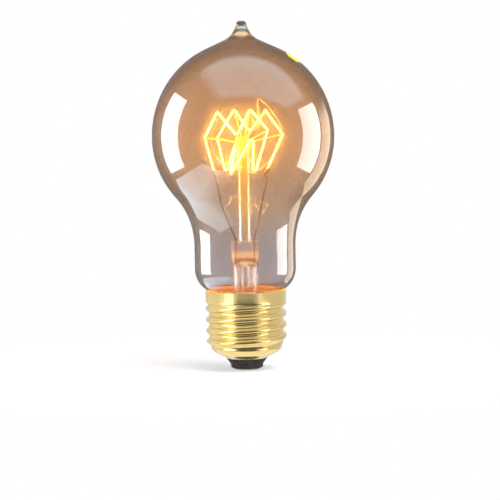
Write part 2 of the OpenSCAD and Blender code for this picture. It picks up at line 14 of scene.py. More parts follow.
import bpy
import numpy as np
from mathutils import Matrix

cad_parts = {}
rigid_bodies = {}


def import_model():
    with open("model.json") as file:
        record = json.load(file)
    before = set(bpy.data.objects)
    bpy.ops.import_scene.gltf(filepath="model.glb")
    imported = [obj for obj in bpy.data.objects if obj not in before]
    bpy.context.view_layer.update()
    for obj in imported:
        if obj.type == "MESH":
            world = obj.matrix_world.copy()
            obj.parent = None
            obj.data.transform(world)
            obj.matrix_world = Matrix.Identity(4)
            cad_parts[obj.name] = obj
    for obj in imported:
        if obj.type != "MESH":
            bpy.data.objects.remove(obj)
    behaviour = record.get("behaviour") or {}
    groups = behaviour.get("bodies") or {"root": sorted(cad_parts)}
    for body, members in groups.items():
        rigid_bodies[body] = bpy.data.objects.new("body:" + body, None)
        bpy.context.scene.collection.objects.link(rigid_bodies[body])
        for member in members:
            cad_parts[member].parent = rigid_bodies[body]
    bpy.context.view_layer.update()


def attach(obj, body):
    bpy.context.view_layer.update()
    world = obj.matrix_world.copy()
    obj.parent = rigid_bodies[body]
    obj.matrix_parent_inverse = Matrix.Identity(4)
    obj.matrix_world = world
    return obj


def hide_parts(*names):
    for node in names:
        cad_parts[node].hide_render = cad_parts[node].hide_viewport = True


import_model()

log = logging.getLogger("filament_bulb")

MM = 0.001
BODY = "root"
# Gap that keeps the faces of touching pieces apart
GAP = 0.02
# Share of the span between two points that each handle of a blend takes
HANDLE = 0.36
# Share of a side that one rounding may take
HALF_SIDE = 0.49
# A row of points narrower than this is a pole
POLE = 1e-7
# Most of a cloudy variation lies between these two
CLOUD_LOW, CLOUD_HIGH = 0.3, 0.7
UP, BACK = (0, 0, 1), (0, 1, 0)

Array = np.ndarray
Row = Sequence[float]
Socket = bpy.types.NodeSocket
Place = Colour = tuple[float, float, float]
Stops = tuple[tuple[float, Colour], ...]
Bends = tuple[tuple[float, float], ...]
# X for an edge across a softbox's width or Y for one across its height, which end that edge is at,
# 0 or 1, and the share of the width or height over which the light fades
Edges = tuple[tuple[str, float, float], ...]


class Slot(Enum):
    """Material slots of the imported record."""

    AMBER_GLASS = "amber_glass"
    TIP_GLASS = "tip_glass"
    STEM_GLASS = "stem_glass"
    ROD_GLASS = "rod_glass"
    NICKEL_WIRE = "nickel_wire"
    SEAL_WIRE = "seal_wire"
    COPPER_WIRE = "copper_wire"
    SUPPORT_WIRE = "support_wire"
    FILAMENT = "glowing_filament"
    BRASS = "brass"
    BLACK_GLASS = "black_glass"
    SOLDER = "solder"
    CEMENT = "cement"


class Shaded(Enum):
    """What a shading graph belongs to."""

    MATERIAL = "Material"
    WORLD = "World"
    LAMP = "Light"


# ---- outlines and surfaces ----

def unit(v: Array) -> Array:
    """The vector, or each row of vectors, at length one."""
    return v / np.linalg.norm(v, axis=-1, keepdims=True)


def place(angle: float, distance: float, height: float) -> Array:
    """A point from its angle from the front, its distance from the axis and its height."""
    a = math.radians(angle)
    return np.array([distance * math.sin(a), -distance * math.cos(a), height])


def oval(centre: Row, wide: float, high: float, start: float, end: float, steps: int) -> Array:
    """Points on an oval arc: the centre plus (wide times the cosine, high times the sine) of the
    angle.

    Args:
        centre: Distance from the axis and height of the centre.
        wide: Half width.
        high: Half height.
        start: First angle in degrees, anticlockwise from the outward direction.
        end: Last angle in degrees.
        steps: Number of steps between the two.

    Returns:
        Points as rows of (distance from the axis, height).
    """
    t = np.radians(np.linspace(start, end, steps + 1))
    return np.asarray(centre) + np.stack([wide * np.cos(t), high * np.sin(t)], axis=1)


def arc(centre: Row, radius: float, start: float, end: float, steps: int) -> Array:
    """Points on a round arc: an oval one whose half width and half height are the radius."""
    return oval(centre, radius, radius, start, end, steps)


def blend(p: Row, leave: Row, q: Row, arrive: Row, steps: int) -> Array:
    """Points on a cubic curve that leaves p along one direction and reaches q along another.

    Args:
        p: First point.
        leave: Unit direction at the first point.
        q: Last point.
        arrive: Unit direction at the last point.
        steps: Number of steps.

    Returns:
        Points as rows.
    """
    p, q = np.asarray(p, float), np.asarray(q, float)
    reach = HANDLE * np.linalg.norm(q - p)
    a, b = p + reach * np.asarray(leave), q - reach * np.asarray(arrive)
    t = np.linspace(0, 1, steps + 1)[:, None]
    s = 1 - t
    return s ** 3 * p + 3 * s * s * t * a + 3 * s * t * t * b + t ** 3 * q


def offset(outline: Array, distance: float) -> Array:
    """The outline moved to its right by a distance, square to its own direction."""
    tangent = np.gradient(outline, axis=0)
    return outline + distance * unit(np.stack([tangent[:, 1], -tangent[:, 0]], axis=1))


def softened(corners: Sequence[Row], radius: float, steps: int = 5) -> Array:
    """An open outline whose inner corners are rounded: each becomes a parabola between the points
    that lie the radius, or half of a shorter side, before and after it.

    Args:
        corners: The outline's corners.
        radius: Distance from each corner at which its rounding starts.
        steps: Steps in each rounding.

    Returns:
        Points as rows.
    """
    c = np.asarray(corners, float)
    back, on = c[:-2] - c[1:-1], c[2:] - c[1:-1]
    side = np.minimum(np.linalg.norm(back, axis=1), np.linalg.norm(on, axis=1))
    short = np.minimum(radius, HALF_SIDE * side)[:, None]
    a, b = c[1:-1] + unit(back) * short, c[1:-1] + unit(on) * short
    t = np.linspace(0, 1, steps + 1)[None, :, None]
    curve = (1 - t) ** 2 * a[:, None] + 2 * t * (1 - t) * c[1:-1][:, None] + t ** 2 * b[:, None]
    return np.concatenate([c[:1], curve.reshape(-1, c.shape[1]), c[-1:]])


def resampled(path: Array, step: float) -> Array:
    """The same path with points an equal distance apart, measured along it.

    Args:
        path: Points as rows.
        step: The distance, which is changed a little so that it fits a whole number of times.

    Returns:
        Points as rows.
    """
    run = np.concatenate([[0], np.cumsum(np.linalg.norm(np.diff(path, axis=0), axis=1))])
    at = np.linspace(0, run[-1], max(2, int(round(run[-1] / step))) + 1)
    return np.stack([np.interp(at, run, path[:, k]) for k in range(path.shape[1])], axis=1)


def curve_through(points: Sequence[Row], steps: int) -> Array:
    """A smooth curve through all points: between two of them, the cubic whose slope at each end is
    half of the line between its neighbours.

    Args:
        points: Points in order; their columns may hold a radius beside the place.
        steps: Steps between two points.

    Returns:
        Points as rows, with the same columns.
    """
    p = np.asarray(points, float)
    slope = np.gradient(p, axis=0)
    t = np.linspace(0, 1, steps, endpoint=False)[None, :, None]
    p0, p1, m0, m1 = p[:-1, None], p[1:, None], slope[:-1, None], slope[1:, None]
    curve = ((2 * t ** 3 - 3 * t ** 2 + 1) * p0 + (t ** 3 - 2 * t ** 2 + t) * m0
             + (3 * t ** 2 - 2 * t ** 3) * p1 + (t ** 3 - t ** 2) * m1)
    return np.concatenate([curve.reshape(-1, p.shape[1]), p[-1:]])


def full_turn(count: int) -> Array:
    """Equal angles all the way round, in radians, as one row."""
    return np.linspace(0, 2 * np.pi, count, endpoint=False)[None]


def around(r: Array, angle: Array, z: Array) -> Array:
    """A grid of points at (distance times the cosine, distance times the sine, height)."""
    return np.stack([r * np.cos(angle), r * np.sin(angle), z + 0 * angle], axis=2)


def turned(outline: Array, columns: int) -> Array:
    """The outline turned round the axis."""
    return around(outline[:, :1], full_turn(columns), outline[:, 1:])


def across(path: Array, lean: Array) -> tuple[Array, Array]:
    """Two directions square to a path at each of its points.

    Args:
        path: Points as rows.
        lean: A direction for each point.

    Returns:
        The lean made square to the path, and the cross product of the path's direction and that.
    """
    ahead = unit(np.gradient(path, axis=0))
    u = unit(lean - np.sum(lean * ahead, axis=1, keepdims=True) * ahead)
    return u, np.cross(ahead, u)


def tube(path: Array, radius: Array | float, sides: int, lean: Row | Array) -> Array:
    """A round tube along a path: at each point a ring of the radius, measured from the leaning
    direction. Both ends are closed.

    Args:
        path: Points of the centre line.
        radius: One radius, or one for each point.
        sides: Points in each ring.
        lean: A direction, or one for each point, that never lies along the path.

    Returns:
        A grid of points with one row for each ring, and one for the middle of each end.
    """
    u, v = across(path, np.broadcast_to(np.asarray(lean, float), path.shape))
    t = full_turn(sides)[..., None]
    r = np.broadcast_to(np.asarray(radius, float), path.shape[:1])[:, None, None]
    grid = path[:, None] + r * (np.cos(t) * u[:, None] + np.sin(t) * v[:, None])
    ends = [np.repeat(end.mean(axis=1, keepdims=True), sides, 1) for end in (grid[:1], grid[-1:])]
    return np.concatenate([ends[0], grid, ends[1]])


# ---- finishes ----

class Graph:
    """A shading graph, with short ways to add nodes and to join them."""

    def __init__(self, owner: bpy.types.ID, kind: Shaded = Shaded.MATERIAL) -> None:
        """Empties the graph of a material, the world or a lamp.

        Args:
            owner: What is shaded.
            kind: Which of the three it is.
        """
        owner.use_nodes = True
        self.owner = owner
        self.tree = owner.node_tree
        self.tree.nodes.clear()
        self.output = self.tree.nodes.new("ShaderNodeOutput" + kind.value)

    def add(self, kind: str, inputs: dict[Any, Any] | None = None,
            **settings: Any) -> bpy.types.Node:
        """Adds a node.

        Args:
            kind: Blender's name of the node without its "ShaderNode".
            inputs: Socket to its value, or to the socket that feeds it.
            settings: The node's own settings.

        Returns:
            The node.
        """
        node = self.tree.nodes.new("ShaderNode" + kind)
        for name, value in settings.items():
            setattr(node, name, value)
        for name, value in (inputs or {}).items():
            if isinstance(value, Socket):
                self.tree.links.new(value, node.inputs[name])
            else:
                node.inputs[name].default_value = value
        return node

    def reckon(self, operation: str, *values: Any) -> Socket:
        """The result of one step of arithmetic on the values."""
        return self.add("Math", dict(enumerate(values)), operation=operation).outputs[0]

    def remap(self, value: Socket, low: float, high: float, first: float = 0.0,
              last: float = 1.0, **settings: Any) -> Socket:
        """The value's share of the way from low to high, as that of the way from first to last."""
        inputs = {0: value, 1: low, 2: high, 3: first, 4: last}
        return self.add("MapRange", inputs, **settings).outputs[0]

    def mixed(self, share: Any, first: Socket, second: Colour) -> Socket:
        """A colour that goes from the first to the second by the share."""
        return self.add("MixRGB", {0: share, 1: first, 2: (*second, 1.0)}).outputs[0]

    def either(self, share: Socket, first: Socket, second: Socket) -> Socket:
        """A surface that goes from the first to the second by the share."""
        return self.add("MixShader", {0: share, 1: first, 2: second}).outputs[0]

    def place(self) -> Socket:
        """The point's place on the object."""
        return self.add("TexCoord").outputs["Object"]

    def height(self, low: float, high: float) -> Socket:
        """The point's height as a share of the way from low to high, in millimetres."""
        z = self.add("SeparateXYZ", {0: self.place()}).outputs["Z"]
        return self.remap(z, low * MM, high * MM)

    def ramp(self, share: Socket, stops: Stops) -> Socket:
        """A colour that changes through the stops.

        Args:
            share: Where on the ramp each point lies, from 0 to 1.
            stops: Share and colour of each stop, in rising order.

        Returns:
            The colour.
        """
        ramp = self.add("ValToRGB", {0: share})
        marks = ramp.color_ramp.elements
        while len(marks) < len(stops):
            marks.new(0.5)
        for mark, (at, colour) in zip(marks, stops):
            mark.position = at
            mark.color = (*colour, 1.0)
        return ramp.outputs[0]

    def noise(self, scale: float, detail: float = 3.0, stretch: Place = (1, 1, 1)) -> Socket:
        """Cloudy variation, from 0 to 1.

        Args:
            scale: Number of clouds in a metre.
            detail: How much finer variation is added.
            stretch: Factor on the place along X, Y and Z.

        Returns:
            The value.
        """
        at = self.add("Mapping", {0: self.place(), "Scale": stretch}).outputs[0]
        return self.add("TexNoise", {"Vector": at, "Scale": scale, "Detail": detail}).outputs[0]

    def worn(self, cloud: Socket, least: float, more: float) -> Socket:
        """A roughness that grows from its least by some more where the cloudy variation is high."""
        return self.remap(cloud, CLOUD_LOW, CLOUD_HIGH, least, least + more)

    def bump(self, height: Socket, strength: float, distance: float) -> Socket:
        """A normal that leans as if the surface rose by the height times the distance."""
        inputs = {"Strength": strength, "Distance": distance * MM, "Height": height}
        return self.add("Bump", inputs).outputs[0]

    def seen(self, path: bpy.types.Node) -> Socket:
        """1 for the camera's rays, straight or through glass, and 0 for all others."""
        ways = ("Is Camera Ray", "Is Transmission Ray")
        return self.reckon("MAXIMUM", *(path.outputs[way] for way in ways))

    def finish(self, surface: Socket) -> Any:
        """Joins the surface to the output and returns what is shaded."""
        self.tree.links.new(surface, self.output.inputs["Surface"])
        return self.owner


@dataclass(frozen=True)
class Finish:
    """A finish of the bulb, with the record's slot that it stands for; nothing here reads the slot.
    """

    slot: Slot
    name: str

    def material(self) -> bpy.types.Material:
        """The material, which is the same each time."""
        raise NotImplementedError(self.name)


@dataclass(frozen=True)
class Glass(Finish):
    """Clear or tinted glass, which lets the lamps' light through, with the slight waviness of blown
    glass."""

    low: float
    high: float
    tints: Stops
    clouds: float = 45.0
    drift: float = 0.06
    index: float = 1.47
    waves: float = 90.0
    wave_strength: float = 0.35
    wave_height: float = 0.02
    edge: Colour | None = None
    edge_share: float = 0.85
    edge_ramp: Stops = ((0.35, (0, 0, 0)), (0.60, (0.5, 0.5, 0.5)), (0.88, (1, 1, 1)))
    specks: float = 16000.0
    haze: float = 0.0
    haze_step: float = 0.03
    haze_roughness: float = 0.34
    gloss: float = 0.0
    gloss_roughness: float = 0.25
    # Painted glow: a colour ramp by height and its strength, emission that stands in for the
    # filament's light
    glow: Stops | None = None
    painted_glow_strength: float = 1.0
    shade_paleness: float = 0.35

    @cache
    def material(self) -> bpy.types.Material:
        """Tint by height, with an optional painted warm glow: emission that stands in for the
        filament's light carried along the glass.

        Returns:
            The material.
        """
        g = Graph(bpy.data.materials.new(self.name))
        drift = g.reckon("MULTIPLY_ADD", g.noise(self.clouds), self.drift, -self.drift / 2)
        share = g.reckon("ADD", g.height(self.low, self.high), drift)
        tint = g.ramp(share, self.tints)
        inputs = {
            "Base Color": tint, "Roughness": 0.0, "IOR": self.index, "Transmission Weight": 1.0,
            "Normal": g.bump(g.noise(self.waves, 1.0), self.wave_strength, self.wave_height),
        }
        if self.edge:
            # Sight along the wall passes through more of the tinted glass
            graze = g.add("LayerWeight", {"Blend": 0.5}).outputs["Facing"]
            depth = g.reckon("MULTIPLY", g.ramp(graze, self.edge_ramp), self.edge_share)
            inputs["Base Color"] = g.mixed(depth, tint, self.edge)
        if self.haze:
            # A film of fine specks on the glass spreads bright light a little
            inputs["Roughness"] = g.remap(g.noise(self.specks, 0.0), self.haze,
                                          self.haze + self.haze_step, 0.0, self.haze_roughness)
        if self.gloss:
            inputs["Coat Weight"], inputs["Coat Roughness"] = self.gloss, self.gloss_roughness
        # Painted glow: the glass shines by itself where the filament's light would be carried along
        # and reflected in it
        if self.glow:
            inputs["Emission Color"] = g.ramp(share, self.glow)
            inputs["Emission Strength"] = self.painted_glow_strength
        skin = g.add("BsdfPrincipled", inputs).outputs[0]
        pale = g.mixed(self.shade_paleness, tint, (1, 1, 1))
        clear = g.add("BsdfTransparent", {0: pale}).outputs[0]
        return g.finish(g.either(g.add("LightPath").outputs["Is Shadow Ray"], skin, clear))


@dataclass(frozen=True)
class Metal(Finish):
    """Bare metal with soft blotches of tarnish and fine marks from drawing or rolling, and an
    optional painted glow that makes it shine by itself.
    """

    bright: Colour
    dull: Colour
    roughness: float
    spread: float
    grain: float
    stretch: Place = (1, 1, 1)
    grain_depth: float = 0.01
    grain_strength: float = 0.5
    blotch: float = 6.0
    bright_below: float = 0.35
    dull_above: float = 0.72
    # Painted glow: colour and strength of light that the metal gives off though it is no lamp
    glow: Colour = (0, 0, 0)
    painted_glow_strength: float = 0.0

    @cache
    def material(self) -> bpy.types.Material:
        """Colour and roughness that drift together, under a grain that lifts the surface slightly.

        Returns:
            The material.
        """
        g = Graph(bpy.data.materials.new(self.name))
        drift = g.noise(self.grain / self.blotch)
        grain = g.noise(self.grain, 4.0, self.stretch)
        stops = ((self.bright_below, self.bright), (self.dull_above, self.dull))
        inputs = {
            "Base Color": g.ramp(drift, stops), "Metallic": 1.0,
            "Roughness": g.worn(grain, self.roughness, self.spread),
            "Normal": g.bump(grain, self.grain_strength, self.grain_depth),
        }
        # Painted glow: emission that stands in for the filament's light on the wire
        if self.painted_glow_strength:
            inputs["Emission Color"] = (*self.glow, 1.0)
            inputs["Emission Strength"] = self.painted_glow_strength
        return g.finish(g.add("BsdfPrincipled", inputs).outputs[0])


@dataclass(frozen=True)
class HotWire(Finish):
    """Wound carbon or tungsten wire at white heat, a little cooler in places."""

    cold: Colour = (0.05, 0.04, 0.04)
    roughness: float = 0.6
    hot: Colour = (1.0, 0.66, 0.105)
    cooler: Colour = (1.0, 0.57, 0.08)
    hot_below: float = 0.3
    cooler_above: float = 0.75
    clouds: float = 160.0
    strength: float = 41.0

    @cache
    def material(self) -> bpy.types.Material:
        """Dark wire that shines by itself.

        Returns:
            The material.
        """
        g = Graph(bpy.data.materials.new(self.name))
        stops = ((self.hot_below, self.hot), (self.cooler_above, self.cooler))
        glow = g.ramp(g.noise(self.clouds), stops)
        return g.finish(g.add("BsdfPrincipled", {
            "Base Color": (*self.cold, 1), "Roughness": self.roughness,
            "Emission Color": glow, "Emission Strength": self.strength}).outputs[0])


@dataclass(frozen=True)
class Cast(Finish):
    """An opaque moulded or set material: black contact glass, cement."""

    first: Colour
    second: Colour
    roughness: float
    spread: float
    grain: float
    depth: float
    pit_strength: float = 0.6
    blotch: float = 3.0
    coat: float = 0.0
    coat_roughness: float = 0.08

    @cache
    def material(self) -> bpy.types.Material:
        """Mottled colour with a pitted surface, under a gloss where it is glassy.

        Returns:
            The material.
        """
        g = Graph(bpy.data.materials.new(self.name))
        mottle = g.noise(self.grain, 5.0)
        return g.finish(g.add("BsdfPrincipled", {
            "Roughness": g.worn(g.noise(self.grain / self.blotch), self.roughness, self.spread),
            "Base Color": g.ramp(mottle, ((CLOUD_LOW, self.first), (CLOUD_HIGH, self.second))),
            "Coat Weight": self.coat, "Coat Roughness": self.coat_roughness,
            "Normal": g.bump(mottle, self.pit_strength, self.depth)}).outputs[0])


@dataclass(frozen=True)
class Finishes:
    """Every finish of the bulb."""

    envelope: Glass = Glass(
        Slot.AMBER_GLASS, "amber_blown_glass", 25, 108,
        ((0.0, (0.61, 0.56, 0.55)), (0.16, (0.59, 0.53, 0.52)), (0.3, (0.635, 0.53, 0.455)),
         (0.44, (0.695, 0.525, 0.385)), (0.60, (0.74, 0.52, 0.35)), (0.8, (0.71, 0.50, 0.34)),
         (1.0, (0.66, 0.49, 0.36))),
        edge=(0.19, 0.11, 0.07), edge_share=1.0, haze=0.642)
    # The bright band partway up the tip's tint is a painted highlight; above it the tint darkens to
    # near black at the top bead
    tip: Glass = Glass(
        Slot.TIP_GLASS, "drawn_tip_glass", 106, 113,
        ((0.0, (0.58, 0.43, 0.32)), (0.2, (0.66, 0.47, 0.32)), (0.4, (0.95, 0.73, 0.43)),
         (0.66, (0.80, 0.66, 0.52)), (0.74, (0.35, 0.30, 0.27)), (0.84, (0.09, 0.075, 0.07)),
         (1.0, (0.05, 0.04, 0.04))),
        waves=300, edge=(0.30, 0.20, 0.14), edge_share=1.0)
    # The stem's glow stops are painted glints: orange emission near the foot and the top of the
    # press that stands in for reflections of the hot filament
    stem: Glass = Glass(
        Slot.STEM_GLASS, "clear_stem_glass", 15, 43,
        ((0.0, (0.95, 0.93, 0.90)), (1.0, (0.97, 0.95, 0.93))),
        index=1.52, waves=160, gloss=1.0,
        glow=((0.0, (0, 0, 0)), (0.7, (0, 0, 0)), (0.76, (0.62, 0.27, 0.01)),
              (0.82, (0.42, 0.17, 0.0)), (0.86, (0.04, 0.02, 0)), (0.93, (0.05, 0.02, 0)),
              (1.0, (0.6, 0.30, 0.02))))
    # The rod's orange tint and its glow are painted light: they stand in for the filament's light
    # seen through and along the clear rod
    rod: Glass = Glass(
        Slot.ROD_GLASS, "lit_rod_glass", 42, 76,
        ((0.0, (0.96, 0.84, 0.66)), (0.35, (0.97, 0.76, 0.38)), (0.7, (0.98, 0.70, 0.20)),
         (1.0, (0.98, 0.82, 0.3))),
        index=1.52, waves=160, gloss=1.0,
        glow=((0.0, (0.02, 0.01, 0)), (0.4, (0.22, 0.11, 0.0)), (0.8, (0.45, 0.2, 0.0)),
              (0.95, (0.9, 0.6, 0.02)), (1.0, (1.0, 0.8, 0.05))),
        painted_glow_strength=0.9)
    brass: Metal = Metal(Slot.BRASS, "rolled_brass", (0.86, 0.67, 0.29), (0.78, 0.57, 0.22),
                         0.14, 0.09, 900, (1, 1, 0.15), 0.006)
    nickel: Metal = Metal(Slot.NICKEL_WIRE, "nickel_lead_wire", (0.46, 0.35, 0.26),
                          (0.26, 0.18, 0.12), 0.28, 0.15, 1500)
    seal: Metal = Metal(Slot.SEAL_WIRE, "copper_clad_seal_wire", (0.75, 0.30, 0.18),
                        (0.55, 0.18, 0.11), 0.35, 0.15, 1500)
    copper: Metal = Metal(Slot.COPPER_WIRE, "copper_lead_wire", (0.85, 0.48, 0.30),
                          (0.65, 0.33, 0.20), 0.25, 0.15, 1500)
    # The support wires' orange glow is painted light: they shine by themselves in the filament's
    # colour
    support: Metal = Metal(Slot.SUPPORT_WIRE, "support_wire_metal", (0.45, 0.36, 0.28),
                           (0.32, 0.24, 0.18), 0.35, 0.15, 1500, glow=(1.0, 0.55, 0.03),
                           painted_glow_strength=5.0)
    filament: HotWire = HotWire(Slot.FILAMENT, "hot_filament")
    black_glass: Cast = Cast(Slot.BLACK_GLASS, "black_contact_glass", (0.022, 0.019, 0.018),
                             (0.046, 0.040, 0.040), 0.18, 0.2, 500, 0.03, coat=0.6)
    solder: Metal = Metal(Slot.SOLDER, "soft_solder", (0.66, 0.66, 0.67), (0.45, 0.45, 0.47),
                          0.22, 0.25, 1200, grain_depth=0.03)
    # The cement's deep orange, with almost no blue, is partly its own brown and partly painted
    # light of the filament falling on it
    cement: Cast = Cast(Slot.CEMENT, "basing_cement", (0.42, 0.25, 0.01), (0.27, 0.15, 0.005),
                        0.8, 0.15, 1600, 0.05)


# ---- pieces ----

def added(name: str, data: bpy.types.ID) -> bpy.types.Object:
    """Makes an object and puts it into the scene.

    Args:
        name: Its name.
        data: Its mesh, light or camera.

    Returns:
        The object.
    """
    made = bpy.data.objects.new(name, data)
    bpy.context.scene.collection.objects.link(made)
    return made


def piece(name: str, grid: Array, nodes: Sequence[str], finish: Finish, ring: bool = False,
          sharp: float = 50) -> bpy.types.Object:
    """Puts a grid of points into a closed mesh, dresses it and ties it to the frame.

    Each cell of the grid is a face, the last column meets the first, and a row whose points all lie
    at one place becomes a single pole with triangles round it. The faces are turned outwards by the
    sign of the volume that they enclose.

    Args:
        name: Name of the piece.
        grid: Points in millimetres, rows by columns by three.
        nodes: CAD nodes that the piece stands for.
        finish: Finish of the piece, which also says its slot.
        ring: Whether the last row meets the first.
        sharp: Angle in degrees between faces above which an edge stays sharp.

    Returns:
        The object.
    """
    columns = grid.shape[1]
    pole = np.ptp(grid, axis=1).max(axis=1) < POLE
    sizes = np.where(pole, 1, columns)
    starts = np.concatenate([[0], np.cumsum(sizes)[:-1]])
    index = starts[:, None] + np.where(pole[:, None], 0, np.arange(columns)[None])
    keep = ~pole[:, None] | (np.arange(columns)[None] == 0)
    points = grid[keep] * MM
    if ring:
        index = np.concatenate([index, index[:1]])
    right = np.roll(index, -1, axis=1)
    quads = np.stack([index[:-1], right[:-1], right[1:], index[1:]], axis=2).reshape(-1, 4)
    top, foot = quads[:, 0] == quads[:, 1], quads[:, 2] == quads[:, 3]
    square = quads[~top & ~foot]
    tris = np.concatenate([quads[top & ~foot][:, [0, 2, 3]], quads[foot & ~top][:, [0, 1, 2]]])
    fan = np.concatenate([square[:, [0, 1, 2]], square[:, [0, 2, 3]], tris])
    a, b, c = points[fan[:, 0]], points[fan[:, 1]], points[fan[:, 2]]
    if np.sum(a * np.cross(b, c)) < 0:
        square, tris = square[:, ::-1], tris[:, ::-1]
    corners = np.concatenate([square.ravel(), tris.ravel()])
    sides = np.concatenate([np.full(len(square), 4), np.full(len(tris), 3)])
    mesh = bpy.data.meshes.new(name)
    mesh.vertices.add(len(points))
    mesh.vertices.foreach_set("co", points.astype(np.float32).ravel())
    mesh.loops.add(len(corners))
    mesh.loops.foreach_set("vertex_index", corners.astype(np.int32))
    mesh.polygons.add(len(sides))
    mesh.polygons.foreach_set(
        "loop_start", np.concatenate([[0], np.cumsum(sides)[:-1]]).astype(np.int32))
    mesh.polygons.foreach_set("use_smooth", np.ones(len(sides), bool))
    mesh.update(calc_edges=True)
    mesh.validate()
    mesh.set_sharp_from_angle(angle=math.radians(sharp))
    mesh.materials.append(finish.material())
    made = added(name, mesh)
    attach(made, BODY)
    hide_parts(*nodes)
    log.info("%s: %d faces, stands for %s", name, len(mesh.polygons), ", ".join(nodes))
    return made


# ---- sub-assemblies ----

@dataclass
class Envelope:
    """Blown globe with its crown, shoulder and neck, and the drawn tip that closes it."""

    finishes: Finishes
    length: float = 113.0
    globe_r: float = 29.485
    globe_z: float = 75.8
    crown_rise: float = 30.8
    tip_r: float = 1.7
    flank_r: float = 6.8
    slope: float = 0.46
    hollow_top: float = 110.4
    bead_r: float = 1.25
    bead_drop: float = 2.1
    bead_start: float = -12.0
    wall: float = 0.7
    shoulder_angle: float = 41.0
    neck_r: float = 16.4
    neck_top: float = 40.0
    neck_foot: float = 33.0
    rim_r: float = 12.4
    foot_height: float = 7.0
    fillet_r: float = 2.5
    seat_r: float = 11.2
    seal: float = 15.0
    columns: int = 176
    tip_columns: int = 72

    @property
    def flank_centre(self) -> Array:
        """Centre of the hollow flank of the tip."""
        return np.array([self.tip_r + self.flank_r, self.length])

    @property
    def flank_start(self) -> float:
        """Angle at which the flank leaves the crown."""
        return 180 + math.degrees(math.atan2(1, self.slope))

    def outside(self) -> Array:
        """Outline of the glass from the foot of the tip down to the seal: a half oval crown, a
        round globe, a cubic shoulder, a straight neck, a rounded foot and a hollow fillet below it.

        Returns:
            Points as rows of (distance from the axis, height).
        """
        step = self.neck_r - self.rim_r
        foot_r = (step ** 2 + self.foot_height ** 2) / (2 * step)
        foot = math.degrees(math.acos(
            (self.seat_r + self.fillet_r - self.neck_r + foot_r) / (foot_r + self.fillet_r)))
        fillet_z = self.neck_foot - (foot_r + self.fillet_r) * math.sin(math.radians(foot))
        crown = math.degrees(math.atan2(self.crown_rise, self.globe_r * self.slope))
        turn = math.radians(self.shoulder_angle)
        start = [self.globe_r * math.cos(turn), self.globe_z - self.globe_r * math.sin(turn)]
        return np.concatenate([
            arc(self.flank_centre, self.flank_r, self.flank_start, self.flank_start, 0),
            oval([0, self.globe_z], self.globe_r, self.crown_rise, crown, 2, 50),
            arc([0, self.globe_z], self.globe_r, 0, -self.shoulder_angle, 30),
            blend(start, [-math.sin(turn), -math.cos(turn)], [self.neck_r, self.neck_top], [0, -1],
                  30)[1:],
            [[self.neck_r, (self.neck_top + self.neck_foot) / 2]],
            arc([self.neck_r - foot_r, self.neck_foot], foot_r, 0, -foot, 20),
            arc([self.seat_r + self.fillet_r, fillet_z], self.fillet_r, 180 - foot, 180, 10)[1:],
            [[self.seat_r, self.seal]],
        ])

    def build(self) -> None:
        """Makes the envelope and the tip."""
        outer = self.outside()
        inner = offset(outer, self.wall)
        piece("envelope_glass", turned(np.concatenate([outer, inner[::-1]]), self.columns),
              ["glass_envelope"], self.finishes.envelope, ring=True)

        end = 180 + math.degrees(math.asin(self.bead_drop / self.flank_r))
        flank = arc(self.flank_centre, self.flank_r, self.flank_start, end, 30)
        flank[0, 1] += GAP
        bead = arc([self.tip_r - self.bead_r, self.length - self.bead_r], self.bead_r,
                   self.bead_start, 90, 14)
        hollow = blend([0, self.hollow_top], [1, 0], inner[0] + [0, GAP], unit(inner[1] - inner[0]),
                       24)
        skin = np.concatenate([hollow, flank, bead, [[0, self.length]]])
        piece("tip_glass", turned(skin, self.tip_columns), ["exhaust_tip"], self.finishes.tip)


